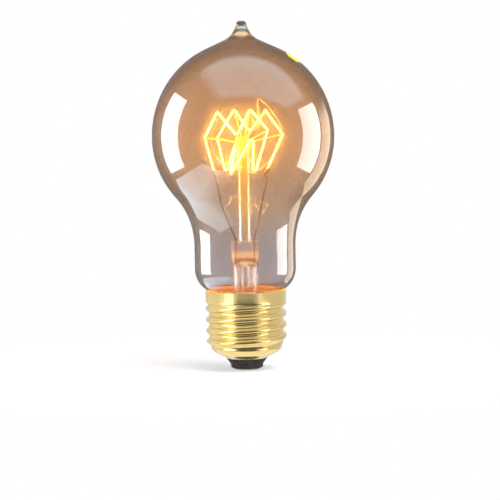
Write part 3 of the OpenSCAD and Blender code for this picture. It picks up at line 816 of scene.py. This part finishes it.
@dataclass
class Stem:
    """Glass stem: the flare with its flattened press, the exhaust tube below it, and the rod with
    its button."""

    finishes: Finishes
    envelope: Envelope
    tube_r: float = 4.3
    wall: float = 0.8
    flare_top: float = 27.0
    flare_r: float = 10.5
    tube_top: float = 33.0
    press_foot: float = 35.8
    press_run: float = 1.2
    press_top: float = 42.1
    press_half_width: float = 4.45
    press_half_depth: float = 1.4
    press_squareness: float = 3.2
    press_round: float = 0.7
    bore_dome: float = 1.3
    exhaust_r: float = 1.6
    exhaust_bore_r: float = 1.1
    exhaust_end: float = 11.5
    exhaust_columns: int = 48
    rod_r: float = 1.95
    button_r: float = 2.9
    button_half_height: float = 2.3
    button_z: float = 73.4
    rod_columns: int = 72
    columns: int = 96

    def flare_outline(self) -> Array:
        """Outline from the straight tube down to the seal."""
        seal = self.envelope.seal
        return np.concatenate([
            [[self.tube_r, self.tube_top]],
            blend([self.tube_r, self.flare_top], [0, -1], [self.flare_r, seal], [1, 0], 28),
            [[self.envelope.seat_r, seal]]])

    def press_rows(self) -> Array:
        """Sections of the press from its top down to the round tube.

        Each is an oval whose two half widths and whose squareness change with the height: a point
        at angle t is the half widths times the cosine and the sine, each raised to two over the
        squareness, which is 2 for the round tube.

        Returns:
            A grid of points with one row for each section.
        """
        lift = np.append(np.sin(np.linspace(1, 0, 9)[:-1] * np.pi / 2), 0)
        inset = self.press_round * (1 - np.sqrt(1 - lift ** 2))
        shoulder = self.press_foot + self.press_run
        down = np.linspace(0, 1, 16)[1:]
        ease = down * down * (3 - 2 * down)
        wide, deep = (np.concatenate([half - inset, half + (self.tube_r - half) * ease])[:, None]
                      for half in (self.press_half_width, self.press_half_depth))
        square = self.press_squareness + (2 - self.press_squareness) * ease
        power = 2 / np.concatenate([np.full(len(lift), self.press_squareness), square])[:, None]
        z = np.concatenate([self.press_top - self.press_round * (1 - lift[:-1]), [shoulder],
                            shoulder + (self.tube_top - shoulder) * down])[:, None]
        t = full_turn(self.columns)
        x = wide * np.sign(np.cos(t)) * np.abs(np.cos(t)) ** power
        y = deep * np.sign(np.sin(t)) * np.abs(np.sin(t)) ** power
        return np.stack([x, y, z + 0 * t], axis=2)

    def build(self) -> None:
        """Makes the flare with its press, the exhaust tube and the rod."""
        glass = self.finishes.stem
        outline = self.flare_outline()
        bore = offset(outline, self.wall)
        ceiling = oval([0, self.tube_top], self.tube_r - self.wall, self.bore_dome, 0, 90, 10)
        peak = np.broadcast_to([0.0, 0.0, self.press_top], (1, self.columns, 3))
        skin = np.concatenate([peak, self.press_rows(), *(
            turned(part, self.columns) for part in (outline[1:], bore[:0:-1], ceiling))])
        piece("stem_flare_glass", skin, ["stem_flare"], glass)

        end = [0, self.exhaust_end + self.exhaust_r]
        inside = self.exhaust_r / (self.tube_r - self.wall)
        top = self.tube_top + self.bore_dome * math.sqrt(1 - inside ** 2) - GAP
        skin = np.concatenate([
            arc(end, self.exhaust_r, -90, 0, 12),
            [[self.exhaust_r, top], [self.exhaust_bore_r, top]],
            arc(end, self.exhaust_bore_r, 0, -90, 10)])
        piece("exhaust_tube_glass", turned(skin, self.exhaust_columns), ["exhaust_tube"], glass)

        foot = self.press_top + GAP
        join = math.degrees(math.asin(self.rod_r / self.button_r))
        button = oval([0, self.button_z], self.button_r, self.button_half_height, join - 90, 90, 30)
        straight = np.linspace([self.rod_r, foot], button[0], 24)[:-1]
        skin = np.concatenate([[[0, foot]], straight, button])
        piece("rod_glass", turned(skin, self.rod_columns), ["glass_rod"], self.finishes.rod)


@dataclass
class FilamentCage:
    """The wound filament, strung back and forth over hooks, and the support wires that hold it."""

    finishes: Finishes
    stem: Stem
    cage_z: float = 75.8
    wire_r: float = 0.25
    bend_r: float = 0.6
    support_r: float = 0.13
    support_sides: int = 10
    hook_gap: float = 0.08
    depth: float = 1.2
    lean: float = 0.5
    curl_end: float = 330.0
    coil_wire_r: float = 0.07
    coil_sides: int = 5
    coil_pitch: float = 0.22
    turn_points: int = 10
    # Name, angle from the front, distance from the axis and height above the middle of the cage
    hooks: tuple[tuple[str, float, float, float], ...] = (
        ("middle_support_1", -97, 12.5, -0.3), ("top_support_1", -60, 9.4, 7.8),
        ("middle_support_2", -9, 12.6, 1), ("top_support_2", 16, 9.1, 8.3),
        ("middle_support_3", 37, 13, 2.1), ("lower_support_1", 28, 7.4, -10.7),
        ("middle_support_4", 19, 8.5, -1.1), ("lower_support_2", -34, 7.3, -11.6),
        ("middle_support_5", 195, 8.4, -1.1), ("lower_support_3", 230, 7.4, -10.9),
        ("middle_support_6", 221, 12.9, -0.5), ("top_support_3", 198, 9.2, 8.3),
        ("middle_support_7", 170, 12.7, 1.6), ("top_support_4", 127, 9.3, 8.1),
        ("middle_support_8", 97, 12.9, 0.4))
    start: Place = (-90, 9.4, -11.8)
    end: Place = (90, 7.3, -11.5)

    def corners(self) -> Array:
        """The filament's ends and the middles of its bends, in order."""
        marks = [self.start, *(h[1:] for h in self.hooks), self.end]
        return np.array([place(a, r, self.cage_z + z) for a, r, z in marks])

    def ways(self) -> tuple[Array, Array, Array]:
        """How the filament turns at each hook.

        Returns:
            The way into each bend, the way round it and half of the angle turned, in radians.
        """
        c = self.corners()
        back, on = unit(c[:-2] - c[1:-1]), unit(c[2:] - c[1:-1])
        half = np.pi / 2 - np.arccos(np.sum(back * on, axis=1)) / 2
        return unit(back + on), unit(on - back), half

    def centre_line(self) -> Array:
        """The filament's path: straight stretches between round bends of the bend radius.

        Returns:
            Points as rows.
        """
        c = self.corners()
        into, along, half = self.ways()
        t = half[:, None, None] * np.linspace(-1, 1, 13)[None, :, None]
        turn = (1 - np.cos(t)) * into[:, None] + np.sin(t) * along[:, None]
        bends = c[1:-1, None] + self.bend_r * turn
        return np.concatenate([c[:1], bends.reshape(-1, 3), c[-1:]])

    def coil(self) -> Array:
        """Centre line of the fine wire: it winds round the filament's path once in each pitch, at
        the filament's radius less its own.

        Returns:
            Points as rows.
        """
        path = resampled(self.centre_line(), self.coil_pitch / self.turn_points)
        u, v = across(path, unit(path * [1, 1, 0]))
        t = (np.arange(len(path)) * 2 * np.pi / self.turn_points)[:, None]
        return path + (self.wire_r - self.coil_wire_r) * (np.cos(t) * u + np.sin(t) * v)

    def support_path(self, number: int) -> tuple[Array, Array]:
        """Centre line of a support wire: straight from the button, then a curl round the filament.

        Args:
            number: Place of the hook in the list, from 0.

        Returns:
            The path, and the direction square to the curl.
        """
        c = self.corners()[number + 1]
        into, along, _ = (w[number] for w in self.ways())
        middle = np.array([0, 0, self.stem.button_z])
        way = unit(c - middle)
        half = np.array([self.stem.button_r, self.stem.button_r, self.stem.button_half_height])
        root = middle + (1 / np.linalg.norm(way / half) - self.depth) * way
        n = unit(along - self.lean * np.dot(along, way) * way)
        flat = (root - c) - np.dot(root - c, n) * n
        u, side = unit(flat), np.cross(n, unit(flat))
        v = -np.sign(np.dot(side, into)) * side
        r = self.wire_r + self.support_r + self.hook_gap
        first = math.acos(r / np.linalg.norm(flat))
        t = np.linspace(first, math.radians(self.curl_end), 30)[:, None]
        curl = c + r * (np.cos(t) * u + np.sin(t) * v)
        return np.concatenate([np.linspace(root, curl[0], 12)[:-1], curl]), n

    def build(self) -> None:
        """Makes the filament and its fifteen support wires."""
        wire = self.coil()
        # The way that the wire bends, with a trace of the way out so that it is never nothing
        bend = np.roll(wire, -2, axis=0) - 2 * wire + np.roll(wire, 2, axis=0)
        skin = tube(wire, self.coil_wire_r, self.coil_sides,
                    bend + 1e-6 * (wire * [1, 1, 0] + [0, 0, 1e-3]))
        coil = piece("filament_coil", skin, ["filament"], self.finishes.filament, sharp=180)
        coil.visible_diffuse = False
        for number, (name, *_) in enumerate(self.hooks):
            path, square = self.support_path(number)
            piece(name + "_wire", tube(path, self.support_r, self.support_sides, square), [name],
                  self.finishes.support)


@dataclass
class LeadWires:
    """Inner leads with their clamps, the seal wires in the press, and the outer leads inside the
    cap."""

    finishes: Finishes
    stem: Stem
    cage: FilamentCage
    foot_x: float = 2.9
    foot_depth: float = 0.5
    foot_rise: float = 0.3
    inner_r: float = 0.325
    clamp_r: float = 0.6
    clamp_length: float = 2.0
    clamp_below: float = 0.35
    clamp_round: float = 0.1
    clamp_end: float = 0.8
    taper: float = 0.5
    seal_r: float = 0.225
    seal_foot: float = 32.4
    seal_top: float = 41.6
    outer_r: float = 0.2
    outer_bend: float = 0.6
    turn_z: float = 13.2
    side_angle: float = 105.0
    side_r: float = 11.5
    side_foot: float = 23.9
    rim_r: float = 12.625
    side_top: float = 25.65
    middle_z: float = 8.85
    centre_z: float = 0.5
    sides: int = 16
    outer_sides: int = 12
    # Share of the way up and distance outwards of each bend
    left_bends: Bends = ((0.52, 0.8),)
    right_bends: Bends = ((0.3, 0.1), (0.69, 0.4), (0.89, 0.5))

    def inner(self, side: int, bends: Bends, end: Array, way: Array) -> Array:
        """An inner lead's centre line with its radius in a fourth column.

        Args:
            side: -1 for the left lead, 1 for the right one.
            bends: Share of the way up and distance outwards of each bend.
            end: End of the filament.
            way: Direction of the filament at its end.

        Returns:
            Rows of place and radius.
        """
        r = self.inner_r
        foot = np.array([side * self.foot_x, 0, self.stem.press_top])
        stem = [[*(foot - [0, 0, self.foot_depth]), r], [*(foot + [0, 0, self.foot_rise]), r]]
        stem += [[*(foot + share * (end - foot) + [side * out, 0, 0]), r] for share, out in bends]
        low = end - self.clamp_below * self.clamp_length * way
        high = end + (1 - self.clamp_below) * self.clamp_length * way
        clamp = [[*(low - self.taper * way), r], [*low, self.clamp_r],
                 [*(high - self.clamp_round * way), self.clamp_r],
                 [*high, self.clamp_end * self.clamp_r]]
        return np.concatenate([curve_through(stem + clamp[:1], 12), clamp[1:]])

    def outer(self, side: int, corners: Sequence[Row]) -> Array:
        """An outer lead's centre line: straight down from the seal wire, then past the corners."""
        drop = [[side * self.foot_x, 0, z] for z in (self.seal_foot, self.turn_z)]
        return softened([*drop, *corners], self.outer_bend)

    def build(self) -> None:
        """Makes the six wires."""
        c = self.cage.corners()
        for side, word, bends, end, way in (
                (-1, "left", self.left_bends, c[0], unit(c[1] - c[0])),
                (1, "right", self.right_bends, c[-1], unit(c[-2] - c[-1]))):
            lead = self.inner(side, bends, end, way)
            piece(f"inner_lead_{word}_wire", tube(lead[:, :3], lead[:, 3], self.sides, BACK),
                  [f"inner_lead_{word}"], self.finishes.nickel)
            x = side * self.foot_x
            through = np.linspace([x, 0, self.seal_foot], [x, 0, self.seal_top], 8)
            piece(f"seal_lead_{word}_wire", tube(through, self.seal_r, self.sides, BACK),
                  [f"seal_lead_{word}"], self.finishes.seal)
        a = math.radians(self.side_angle)
        out = np.array([math.cos(a), math.sin(a), 0])
        left = self.outer(-1, [self.side_r * out + [0, 0, self.turn_z],
                               self.side_r * out + [0, 0, self.side_foot],
                               self.rim_r * out + [0, 0, self.side_top]])
        right = self.outer(1, [[0, 0, self.middle_z], [0, 0, self.centre_z]])
        for word, path, lean in (("left", left, [-out[1], out[0], 0.3]), ("right", right, BACK)):
            piece(f"outer_lead_{word}_wire", tube(path, self.outer_r, self.outer_sides, lean),
                  [f"outer_lead_{word}"], self.finishes.copper)


@dataclass
class ScrewCap:
    """Brass screw shell with its cement, the black glass in its foot, the centre contact and both
    solders."""

    finishes: Finishes
    envelope: Envelope
    leads: LeadWires
    top: float = 26.0
    collar_r: float = 13.15
    collar_z: float = 22.5
    rim_foot: float = 0.3
    rim_round: float = 0.12
    root_r: float = 12.1
    wall: float = 0.3
    pitch: float = 3.629
    start: float = 0.17
    fade_top: float = 1.4
    fade_foot: float = 1.9
    thread_rows: int = 132
    foot: float = 7.6
    dome_r: float = 11.6
    dome_drop: float = 0.2
    dome_leave: tuple[float, float] = (-0.35, -1)
    dome_arrive: tuple[float, float] = (-1, -0.7)
    lip_r: float = 6.8
    lip_z: float = 3.9
    lip_gap: float = 0.05
    insulator_r: float = 5.2
    insulator_bore_r: float = 0.4
    insulator_round: float = 0.45
    shoulder: float = 1.8
    insulator_foot: float = 0.7
    contact_r: float = 4.6
    contact_flat: float = 4.2
    contact_z: float = 0.3
    contact_rim: float = 0.5
    contact_top: float = 0.9
    contact_round: float = 0.08
    solder_r: float = 2.4
    solder_flat_r: float = 1.2
    solder_round: float = 0.25
    hole_r: float = 0.6
    # Shares of the solder's radius and height at which its flat turns into its rim
    solder_turn: tuple[float, float] = (0.85, 0.4)
    # Section of the side solder: heights at which it lies on the glass, then its corners over the
    # rim and the outside of the collar, the middle to which it shrinks, and half of its angle
    side_glass_z: tuple[float, ...] = (25.72, 26.0, 26.45)
    side_corners: tuple[tuple[float, float], ...] = (
        (13.2, 26.42), (13.33, 25.95), (13.16, 25.56), (13.155, 26.01), (12.84, 26.01),
        (12.84, 25.72))
    side_middle: tuple[float, float] = (13.0, 26.02)
    side_spread: float = 3.9
    side_gap: float = 0.03
    side_round: float = 0.1
    # Cement: its ends, where it widens below and above the foot of the collar, its gap to the
    # thread and the hollow of its top
    cement_foot: float = 16.5
    cement_top: float = 25.4
    cement_widens: tuple[float, float] = (-0.4, 0.3)
    cement_gap: float = 0.05
    cement_hollow: float = 0.1
    columns: int = 144
    small_columns: int = 96
    drop_columns: int = 64

    @staticmethod
    def ease(t: Array) -> Array:
        """A smooth step from 0 to 1."""
        u = np.clip(t, 0, 1)
        return u * u * (3 - 2 * u)

    def thread(self, z: Array, angle: Array) -> Array:
        """Radius of the brass at a height and an angle.

        The knuckle profile is two equal arcs in each pitch, outwards near the crest and inwards
        between the crests. It runs out into the collar above and the dome below by a smooth step.

        Args:
            z: Heights.
            angle: Angles, in turns.

        Returns:
            The radii.
        """
        depth, mean = (self.collar_r - self.root_r) / 2, (self.collar_r + self.root_r) / 2
        quarter = self.pitch / 4
        r = (quarter ** 2 + depth ** 2) / (2 * depth)
        t = (z - self.start) / self.pitch - angle
        s = np.abs(t - np.round(t)) * self.pitch
        near = s <= quarter
        rise = np.sqrt(r * r - np.where(near, s, 2 * quarter - s) ** 2) - r + depth
        up = self.ease((z - self.collar_z + self.fade_top) / self.fade_top)
        down = self.ease((self.foot + self.fade_foot - z) / self.fade_foot)
        return (mean + (self.collar_r - mean) * up + (self.dome_r - mean) * down
                + np.where(near, rise, -rise) * (1 - up) * (1 - down))

    def dome(self) -> Array:
        """Outline of the brass from the foot of its thread down to its lip: one cubic curve."""
        return blend([self.dome_r, self.foot - self.dome_drop], unit(np.array(self.dome_leave)),
                     [self.lip_r, self.lip_z], unit(np.array(self.dome_arrive)), 24)

    def shell(self) -> Array:
        """The brass sheet as one closed grid: up its outside, over the rim and down its inside.

        Returns:
            A grid of points whose last row meets its first.
        """
        turn = np.linspace(0, 1, self.columns, endpoint=False)[None]
        z = np.linspace(self.foot, self.collar_z, self.thread_rows)[:, None]
        outer = self.thread(z, turn)
        low, inside = self.collar_z + self.rim_foot, self.collar_r - self.wall
        rim = softened([[self.collar_r, low], [self.collar_r, self.top], [inside, self.top],
                        [inside, low]], self.rim_round)
        dome = self.dome()
        return np.concatenate([
            turned(dome[::-1], self.columns), around(outer, 2 * np.pi * turn, z),
            turned(rim, self.columns), around(outer - self.wall, 2 * np.pi * turn, z)[::-1],
            turned(offset(dome, self.wall), self.columns)])

    def insulator(self) -> Array:
        """Outline of the black glass: inside the brass dome, over its lip and down to the contact.

        Returns:
            Points as rows, whose last meets the first.
        """
        dome = offset(self.dome(), self.wall)
        seat = self.contact_r + GAP
        foot = softened([
            dome[-1], [self.lip_r - GAP, self.lip_z - self.lip_gap],
            [self.insulator_r, self.shoulder], [self.insulator_r, self.insulator_foot],
            [seat, self.insulator_foot], [seat, self.contact_top]], self.insulator_round)
        return np.concatenate([[[self.insulator_bore_r, dome[0, 1]]], dome, foot[1:],
                               [[self.insulator_bore_r, self.contact_top]]])

    def plate(self) -> Array:
        """Outline of the contact plate, from the top of its hole round to the same point."""
        top = [self.hole_r, self.contact_top]
        return softened([
            top, [self.hole_r, self.contact_z], [self.contact_flat, self.contact_z],
            [self.contact_r, self.contact_rim], [self.contact_r, self.contact_top], top],
            self.contact_round)[:-1]

    def drop(self) -> Array:
        """Outline of the centre solder: its foot, and the part that fills the plate's hole.

        Returns:
            Points as rows, from the axis round to the axis.
        """
        hole = self.hole_r - GAP
        out, up = self.solder_turn
        return softened([
            [0, 0], [self.solder_flat_r, 0], [out * self.solder_r, up * self.contact_z],
            [self.solder_r, self.contact_z], [hole, self.contact_z], [hole, self.contact_top],
            [0, self.contact_top]], self.solder_round)

    def side_solder(self) -> Array:
        """The drop over the rim beside the side lead: its section between the glass and the outside
        of the collar shrinks by the root of one minus the square of the share of the way to an end.

        Returns:
            A grid of points.
        """
        outer = self.envelope.outside()
        outer = outer[np.argsort(outer[:, 1])]
        z = np.array(self.side_glass_z)
        glass = np.stack([np.interp(z, outer[:, 1], outer[:, 0]) + self.side_gap, z], axis=1)
        section = softened([*glass, *self.side_corners, glass[0]], self.side_round, 3)[:-1]
        share = np.sin(np.linspace(-np.pi / 2, np.pi / 2, 15))[:, None]
        size = np.sqrt(np.clip(1 - share ** 2, 0, 1))[:, :, None]
        flat = self.side_middle + (section[None] - self.side_middle) * size
        angle = math.radians(self.leads.side_angle) + math.radians(self.side_spread) * share
        return around(flat[..., 0], angle, flat[..., 1])

    def cement(self) -> Array:
        """Outline of the ring between the glass and the brass, with a slightly hollow top.

        Returns:
            Points as rows, whose last meets the first.
        """
        outer = self.envelope.outside()
        low = outer[(outer[:, 1] < self.cement_top) & (outer[:, 1] > self.cement_foot)] + [GAP, 0]
        r = self.root_r - self.wall - self.cement_gap
        rim = self.collar_r - self.wall - GAP
        below, above = self.cement_widens
        return np.concatenate([low, [
            [self.envelope.seat_r + GAP, self.cement_foot], [r, self.cement_foot],
            [r, self.collar_z + below], [rim, self.collar_z + above],
            [rim, low[0, 1] + self.cement_hollow]]])

    def build(self) -> None:
        """Makes the shell, the insulator, the contact, the solders and the cement."""
        finishes = self.finishes
        piece("screw_shell_brass", self.shell(), ["screw_shell"], finishes.brass, ring=True)
        piece("contact_glass", turned(self.insulator(), self.small_columns), ["cap_insulator"],
              finishes.black_glass, ring=True)
        piece("centre_contact_plate", turned(self.plate(), self.small_columns), ["centre_contact"],
              finishes.brass, ring=True)
        piece("centre_solder_drop", turned(self.drop(), self.drop_columns), ["centre_solder"],
              finishes.solder)
        piece("side_solder_drop", self.side_solder(), ["side_solder"], finishes.solder)
        piece("basing_cement_ring", turned(self.cement(), self.small_columns), ["basing_cement"],
              finishes.cement, ring=True)


# ---- studio ----

@dataclass
class Studio:
    """Floor, world, softboxes and the camera at the photograph's viewing angle.

    Each collection holds the pieces that some of the lamps light.
    """

    glassware: bpy.types.Collection
    globe: bpy.types.Collection
    stemware: bpy.types.Collection
    rod: bpy.types.Collection
    metalware: bpy.types.Collection
    inside: bpy.types.Collection
    camera_place: Place = (1.6, -650.0, 87.0)
    aim: Place = (1.6, 0.0, 38.9)
    roll: float = 1.0
    lens: float = 144.4
    sensor: float = 36.0
    floor_half: float = 1500.0
    floor_greys: tuple[float, float] = (0.83, 0.87)
    floor_clouds: float = 30.0
    # Distances between which the floor fades to white, and the share of white at the first
    fade: tuple[float, float] = (20.0, 110.0)
    fade_start: float = 0.5
    dark: Colour = (0.15, 0.15, 0.15)
    plain: Colour = (0.55, 0.56, 0.58)
    bulb_middle: Place = (0, 0, 60)
    cap_middle: Place = (0, 0, 15)
    # The filament's warm light down the stem
    glow_place: Place = (0, 0, 71)
    glow_r: float = 4.0
    glow_angle: float = 36.0
    glow_edge: float = 0.05
    glow_power: float = 3.0
    glow_colour: Colour = (1.0, 0.60, 0.0)
    bounces: int = 16
    # Each panel of the light tent round the brass: two opposite corners and its brightness
    tent: tuple[tuple[str, Place, Place, float], ...] = (
        ("left", (-300, -170, -200), (-300, 300, 300), 0.84),
        ("left_front", (-300, -300, -200), (-300, -170, 300), 2.1),
        ("right", (300, -300, -200), (300, 300, 300), 0.6),
        ("back", (-300, 300, -200), (300, 300, 300), 0.68),
        ("above", (-300, -300, 300), (300, 300, 300), 0.8),
        ("below", (-300, -140, -200), (300, 300, -200), 1.02),
        ("front_left", (-300, -300, -200), (-215, -300, 300), 2.0),
        ("front_left_edge", (-215, -300, -30), (-140, -300, 300), 0.6),
        ("front_right", (205, -300, -200), (300, -300, 300), 0.95),
        ("front_right_edge", (130, -300, -30), (205, -300, 300), 0.45),
        ("front_middle", (-140, -300, -2), (130, -300, 300), 0.36),
        ("left_strip", (-298, -290, -160), (-298, -60, -30), 2.2),
        ("right_strip", (298, -290, -160), (298, -110, -30), 2.6))

    def floor(self) -> None:
        """A pale floor that takes the shadow; the camera sees it fade to white farther off."""
        g = Graph(bpy.data.materials.new("pale_floor"))
        colour = g.ramp(g.noise(self.floor_clouds),
                        tuple((share, (grey,) * 3) for share, grey in enumerate(self.floor_greys)))
        matt = g.add("BsdfDiffuse", {0: colour}).outputs[0]
        white = g.add("Emission", {0: (1, 1, 1, 1), 1: 1.0}).outputs[0]
        far = g.add("VectorMath", {0: g.place()}, operation="LENGTH").outputs["Value"]
        fade = g.remap(far, self.fade[0] * MM, self.fade[1] * MM, self.fade_start)
        share = g.reckon("MULTIPLY", g.seen(g.add("LightPath")), fade)
        mesh = bpy.data.meshes.new("floor")
        h = self.floor_half * MM
        mesh.from_pydata([(-h, -h, 0), (h, -h, 0), (h, h, 0), (-h, h, 0)], [], [(0, 1, 2, 3)])
        mesh.materials.append(g.finish(g.either(share, matt, white)))
        floor = added("floor", mesh)
        floor.visible_glossy = False

    def world(self) -> None:
        """White to the camera and through glass. In their surface, glass and metal reflect a dark
        studio."""
        world = bpy.data.worlds.new("studio")
        bpy.context.scene.world = world
        g = Graph(world, Shaded.WORLD)
        shiny, plain, white = (g.add("Background", {0: (*colour, 1.0)}).outputs[0]
                               for colour in (self.dark, self.plain, (1.0, 1.0, 1.0)))
        path = g.add("LightPath")
        seen = g.seen(path)
        g.finish(g.either(seen, g.either(path.outputs["Is Glossy Ray"], plain, shiny), white))

    @staticmethod
    def matrix(at: Row, aim: Row, upright: Row) -> list[list[float]]:
        """The place of a lamp or camera that looks from one point at another.

        Args:
            at: Where it stands.
            aim: The point that it faces.
            upright: The direction that its top leans to.

        Returns:
            The four columns of its matrix, in metres.
        """
        back = unit(np.asarray(at, float) - np.asarray(aim, float))
        side = unit(np.cross(upright, back))
        columns = np.eye(4)
        columns[:, :3] = [side, np.cross(back, side), back, np.asarray(at) * MM]
        return columns.tolist()

    def hang(self, name: str, data: bpy.types.Light, at: Row, aim: Row,
             upright: Row = UP) -> bpy.types.Object:
        """Puts up a lamp that neither the camera nor a mirror sees.

        Args:
            name: Name of the lamp.
            data: Its light.
            at: Its middle.
            aim: The point that it faces.
            upright: The direction that its top leans to.

        Returns:
            The lamp.
        """
        lamp = added(name, data)
        lamp.matrix_world = self.matrix(at, aim, upright)
        lamp.visible_camera = lamp.visible_transmission = lamp.visible_glossy = False
        return lamp

    @staticmethod
    def area(name: str, size: tuple[float, float], power: float) -> bpy.types.Light:
        """The light of a rectangular lamp.

        Args:
            name: Name of the lamp.
            size: Width and height.
            power: Power in watts.

        Returns:
            The light.
        """
        data = bpy.data.lights.new(name, "AREA")
        data.shape = "RECTANGLE"
        data.size, data.size_y = size[0] * MM, size[1] * MM
        data.energy = power
        return data

    def softbox(self, name: str, at: Row, aim: Row, size: tuple[float, float], radiance: float,
                upright: Row, pieces: bpy.types.Collection, colour: Colour = (1, 1, 1),
                edges: Edges = ()) -> None:
        """A softbox that shows only as its mirror image in some pieces.

        Args:
            name: Name of the softbox.
            at: Its middle.
            aim: The point that it faces.
            size: Width and height.
            radiance: Brightness of its face, where 1 is white.
            upright: The direction that its top leans to.
            pieces: The pieces that reflect it.
            colour: Colour of its light.
            edges: The edges towards which it fades, as a cloth front does.
        """
        data = self.area(name, size, radiance * math.pi * (size[0] * size[1] * MM * MM))
        data.color = colour
        lamp = self.hang(name, data, at, aim, upright)
        lamp.visible_glossy = True
        lamp.visible_diffuse = False
        lamp.light_linking.receiver_collection = pieces
        if edges:
            g = Graph(data, Shaded.LAMP)
            spot = g.add("SeparateXYZ", {0: g.add("NewGeometry").outputs["Parametric"]})
            level = 1.0
            for way, end, share in edges:
                fade = g.remap(spot.outputs[way], end, end + share * (1 - 2 * end),
                               interpolation_type="SMOOTHSTEP")
                level = g.reckon("MULTIPLY", fade, level)
            g.finish(g.add("Emission", {1: level}).outputs[0])

    def panel(self, name: str, corner: Place, far: Place, radiance: float) -> None:
        """One flat panel of the tent, which faces the middle of the cap.

        Args:
            name: Name of the panel.
            corner: One corner.
            far: The opposite corner, with one coordinate the same.
            radiance: Brightness of its face.
        """
        span = np.abs(np.subtract(far, corner)).astype(float)
        flat = int(np.argmin(span))
        middle = np.add(corner, far) / 2
        aim = middle.copy()
        aim[flat] = self.cap_middle[flat]
        size = ((span[1], span[2]), (span[0], span[2]), (span[0], span[1]))[flat]
        self.softbox(f"tent_{name}", middle, aim, size, radiance, BACK if flat == 2 else UP,
                     self.metalware)

    def lamps(self) -> None:
        """Soft lamps for everything, softboxes for the glass, the tent for the brass, and the
        filament's warm light down the stem."""
        for name, at, size, power in (("overhead", (150, -150, 420), (330, 330), 3.0),
                                      ("left_fill", (-300, -120, 120), (200, 200), 0.9),
                                      ("right_fill", (300, -120, 120), (200, 200), 0.9)):
            self.hang(name, self.area(name, size, power), at, self.bulb_middle)
        for box in (
                ("left_softbox", (-160, 28, 85), (0, 28, 85), (100, 178), 16, UP, self.glassware),
                ("right_softbox", (160, 0, 64), (0, 0, 64), (92, 162), 13, UP, self.glassware),
                ("crown_softbox", (120, -80, 300), (120, -80, 0), (640, 320), 2.8, BACK,
                 self.glassware, (0.72, 1.15, 1.42),
                 (("X", 0.0, 0.16), ("X", 1.0, 0.16), ("Y", 0.0, 0.16), ("Y", 1.0, 0.16))),
                ("low_softbox", (-126, -16, -60), (-126, -16, 0), (182, 268), 5.3, BACK, self.globe,
                 (0.80, 0.99, 1.13), (("X", 0.0, 0.45),)),
                ("rim_glint", (75, 276, 179), (17, 0, 99), (20, 84), 3.7, (0.59, 0, 0.81),
                 self.globe, (1.0, 0.74, 0.0)),
                ("right_band", (243, 176, 12), (0, 0, 12), (138, 324), 4.2, UP, self.globe,
                 (1.0, 0.82, 0.60), (("Y", 1.0, 0.2),)),
                *((f"{name}_{side}", (x, 10, 60), (0, 10, 60), (60, high), power, UP, pieces)
                  for name, power, pieces in (("stem", 70, self.stemware), ("rod", 340, self.rod))
                  for side, x, high in (("left", -160, 186), ("right", 160, 178)))):
            self.softbox(*box)
        for name, corner, far, radiance in self.tent:
            self.panel(name, corner, far, radiance)
        glow = bpy.data.lights.new("filament_light", "SPOT")
        glow.spot_size, glow.spot_blend = math.radians(self.glow_angle), self.glow_edge
        glow.energy, glow.color = self.glow_power, self.glow_colour
        glow.shadow_soft_size = self.glow_r * MM
        warm = self.hang("filament_light", glow, self.glow_place, (0, 0, 0), BACK)
        warm.light_linking.receiver_collection = self.inside

    def camera(self) -> None:
        """The camera in front, slightly above the middle of the bulb."""
        data = bpy.data.cameras.new("camera")
        data.lens, data.sensor_width = self.lens, self.sensor
        data.clip_start, data.clip_end = 0.05, 10.0
        camera = added("camera", data)
        lean = math.radians(self.roll)
        camera.matrix_world = self.matrix(self.camera_place, self.aim,
                                          (math.sin(lean), 0, math.cos(lean)))
        bpy.context.scene.camera = camera

    def build(self) -> None:
        """Sets up the whole studio."""
        scene = bpy.context.scene
        scene.view_settings.view_transform = "Standard"
        scene.cycles.max_bounces = scene.cycles.transmission_bounces = self.bounces
        scene.cycles.transparent_max_bounces = self.bounces
        scene.cycles.sample_clamp_indirect = 30.0
        scene.cycles.caustics_reflective = scene.cycles.caustics_refractive = False
        self.floor()
        self.world()
        self.lamps()
        self.camera()


def group(name: str, made: Sequence[bpy.types.Object], *starts: str) -> bpy.types.Collection:
    """A collection of the pieces whose names start in one of some ways, for lamps that light only
    those.

    Args:
        name: Name of the collection.
        made: All pieces.
        starts: The beginnings of the names.

    Returns:
        The collection.
    """
    pieces = bpy.data.collections.new(name)
    for one in made:
        if one.name.startswith(starts):
            pieces.objects.link(one)
    return pieces


def main() -> None:
    """Builds the bulb piece by piece, then the studio."""
    logging.basicConfig(level=logging.INFO, format="%(message)s")
    finishes = Finishes()
    envelope = Envelope(finishes)
    stem = Stem(finishes, envelope)
    cage = FilamentCage(finishes, stem)
    leads = LeadWires(finishes, stem, cage)
    cap = ScrewCap(finishes, envelope, leads)
    for part in (envelope, stem, cage, leads, cap):
        part.build()
    made = list(bpy.context.scene.collection.objects)
    Studio(
        glassware=group("glassware", made, "envelope_", "tip_"),
        globe=group("globe", made, "envelope_"),
        stemware=group("stemware", made, "stem_", "exhaust_"),
        rod=group("rod", made, "rod_"),
        metalware=group("metalware", made, "screw_shell_", "side_"),
        inside=group("inside", made, "basing_", "outer_", "seal_", "inner_"),
    ).build()


if __name__ == "__main__":
    main()
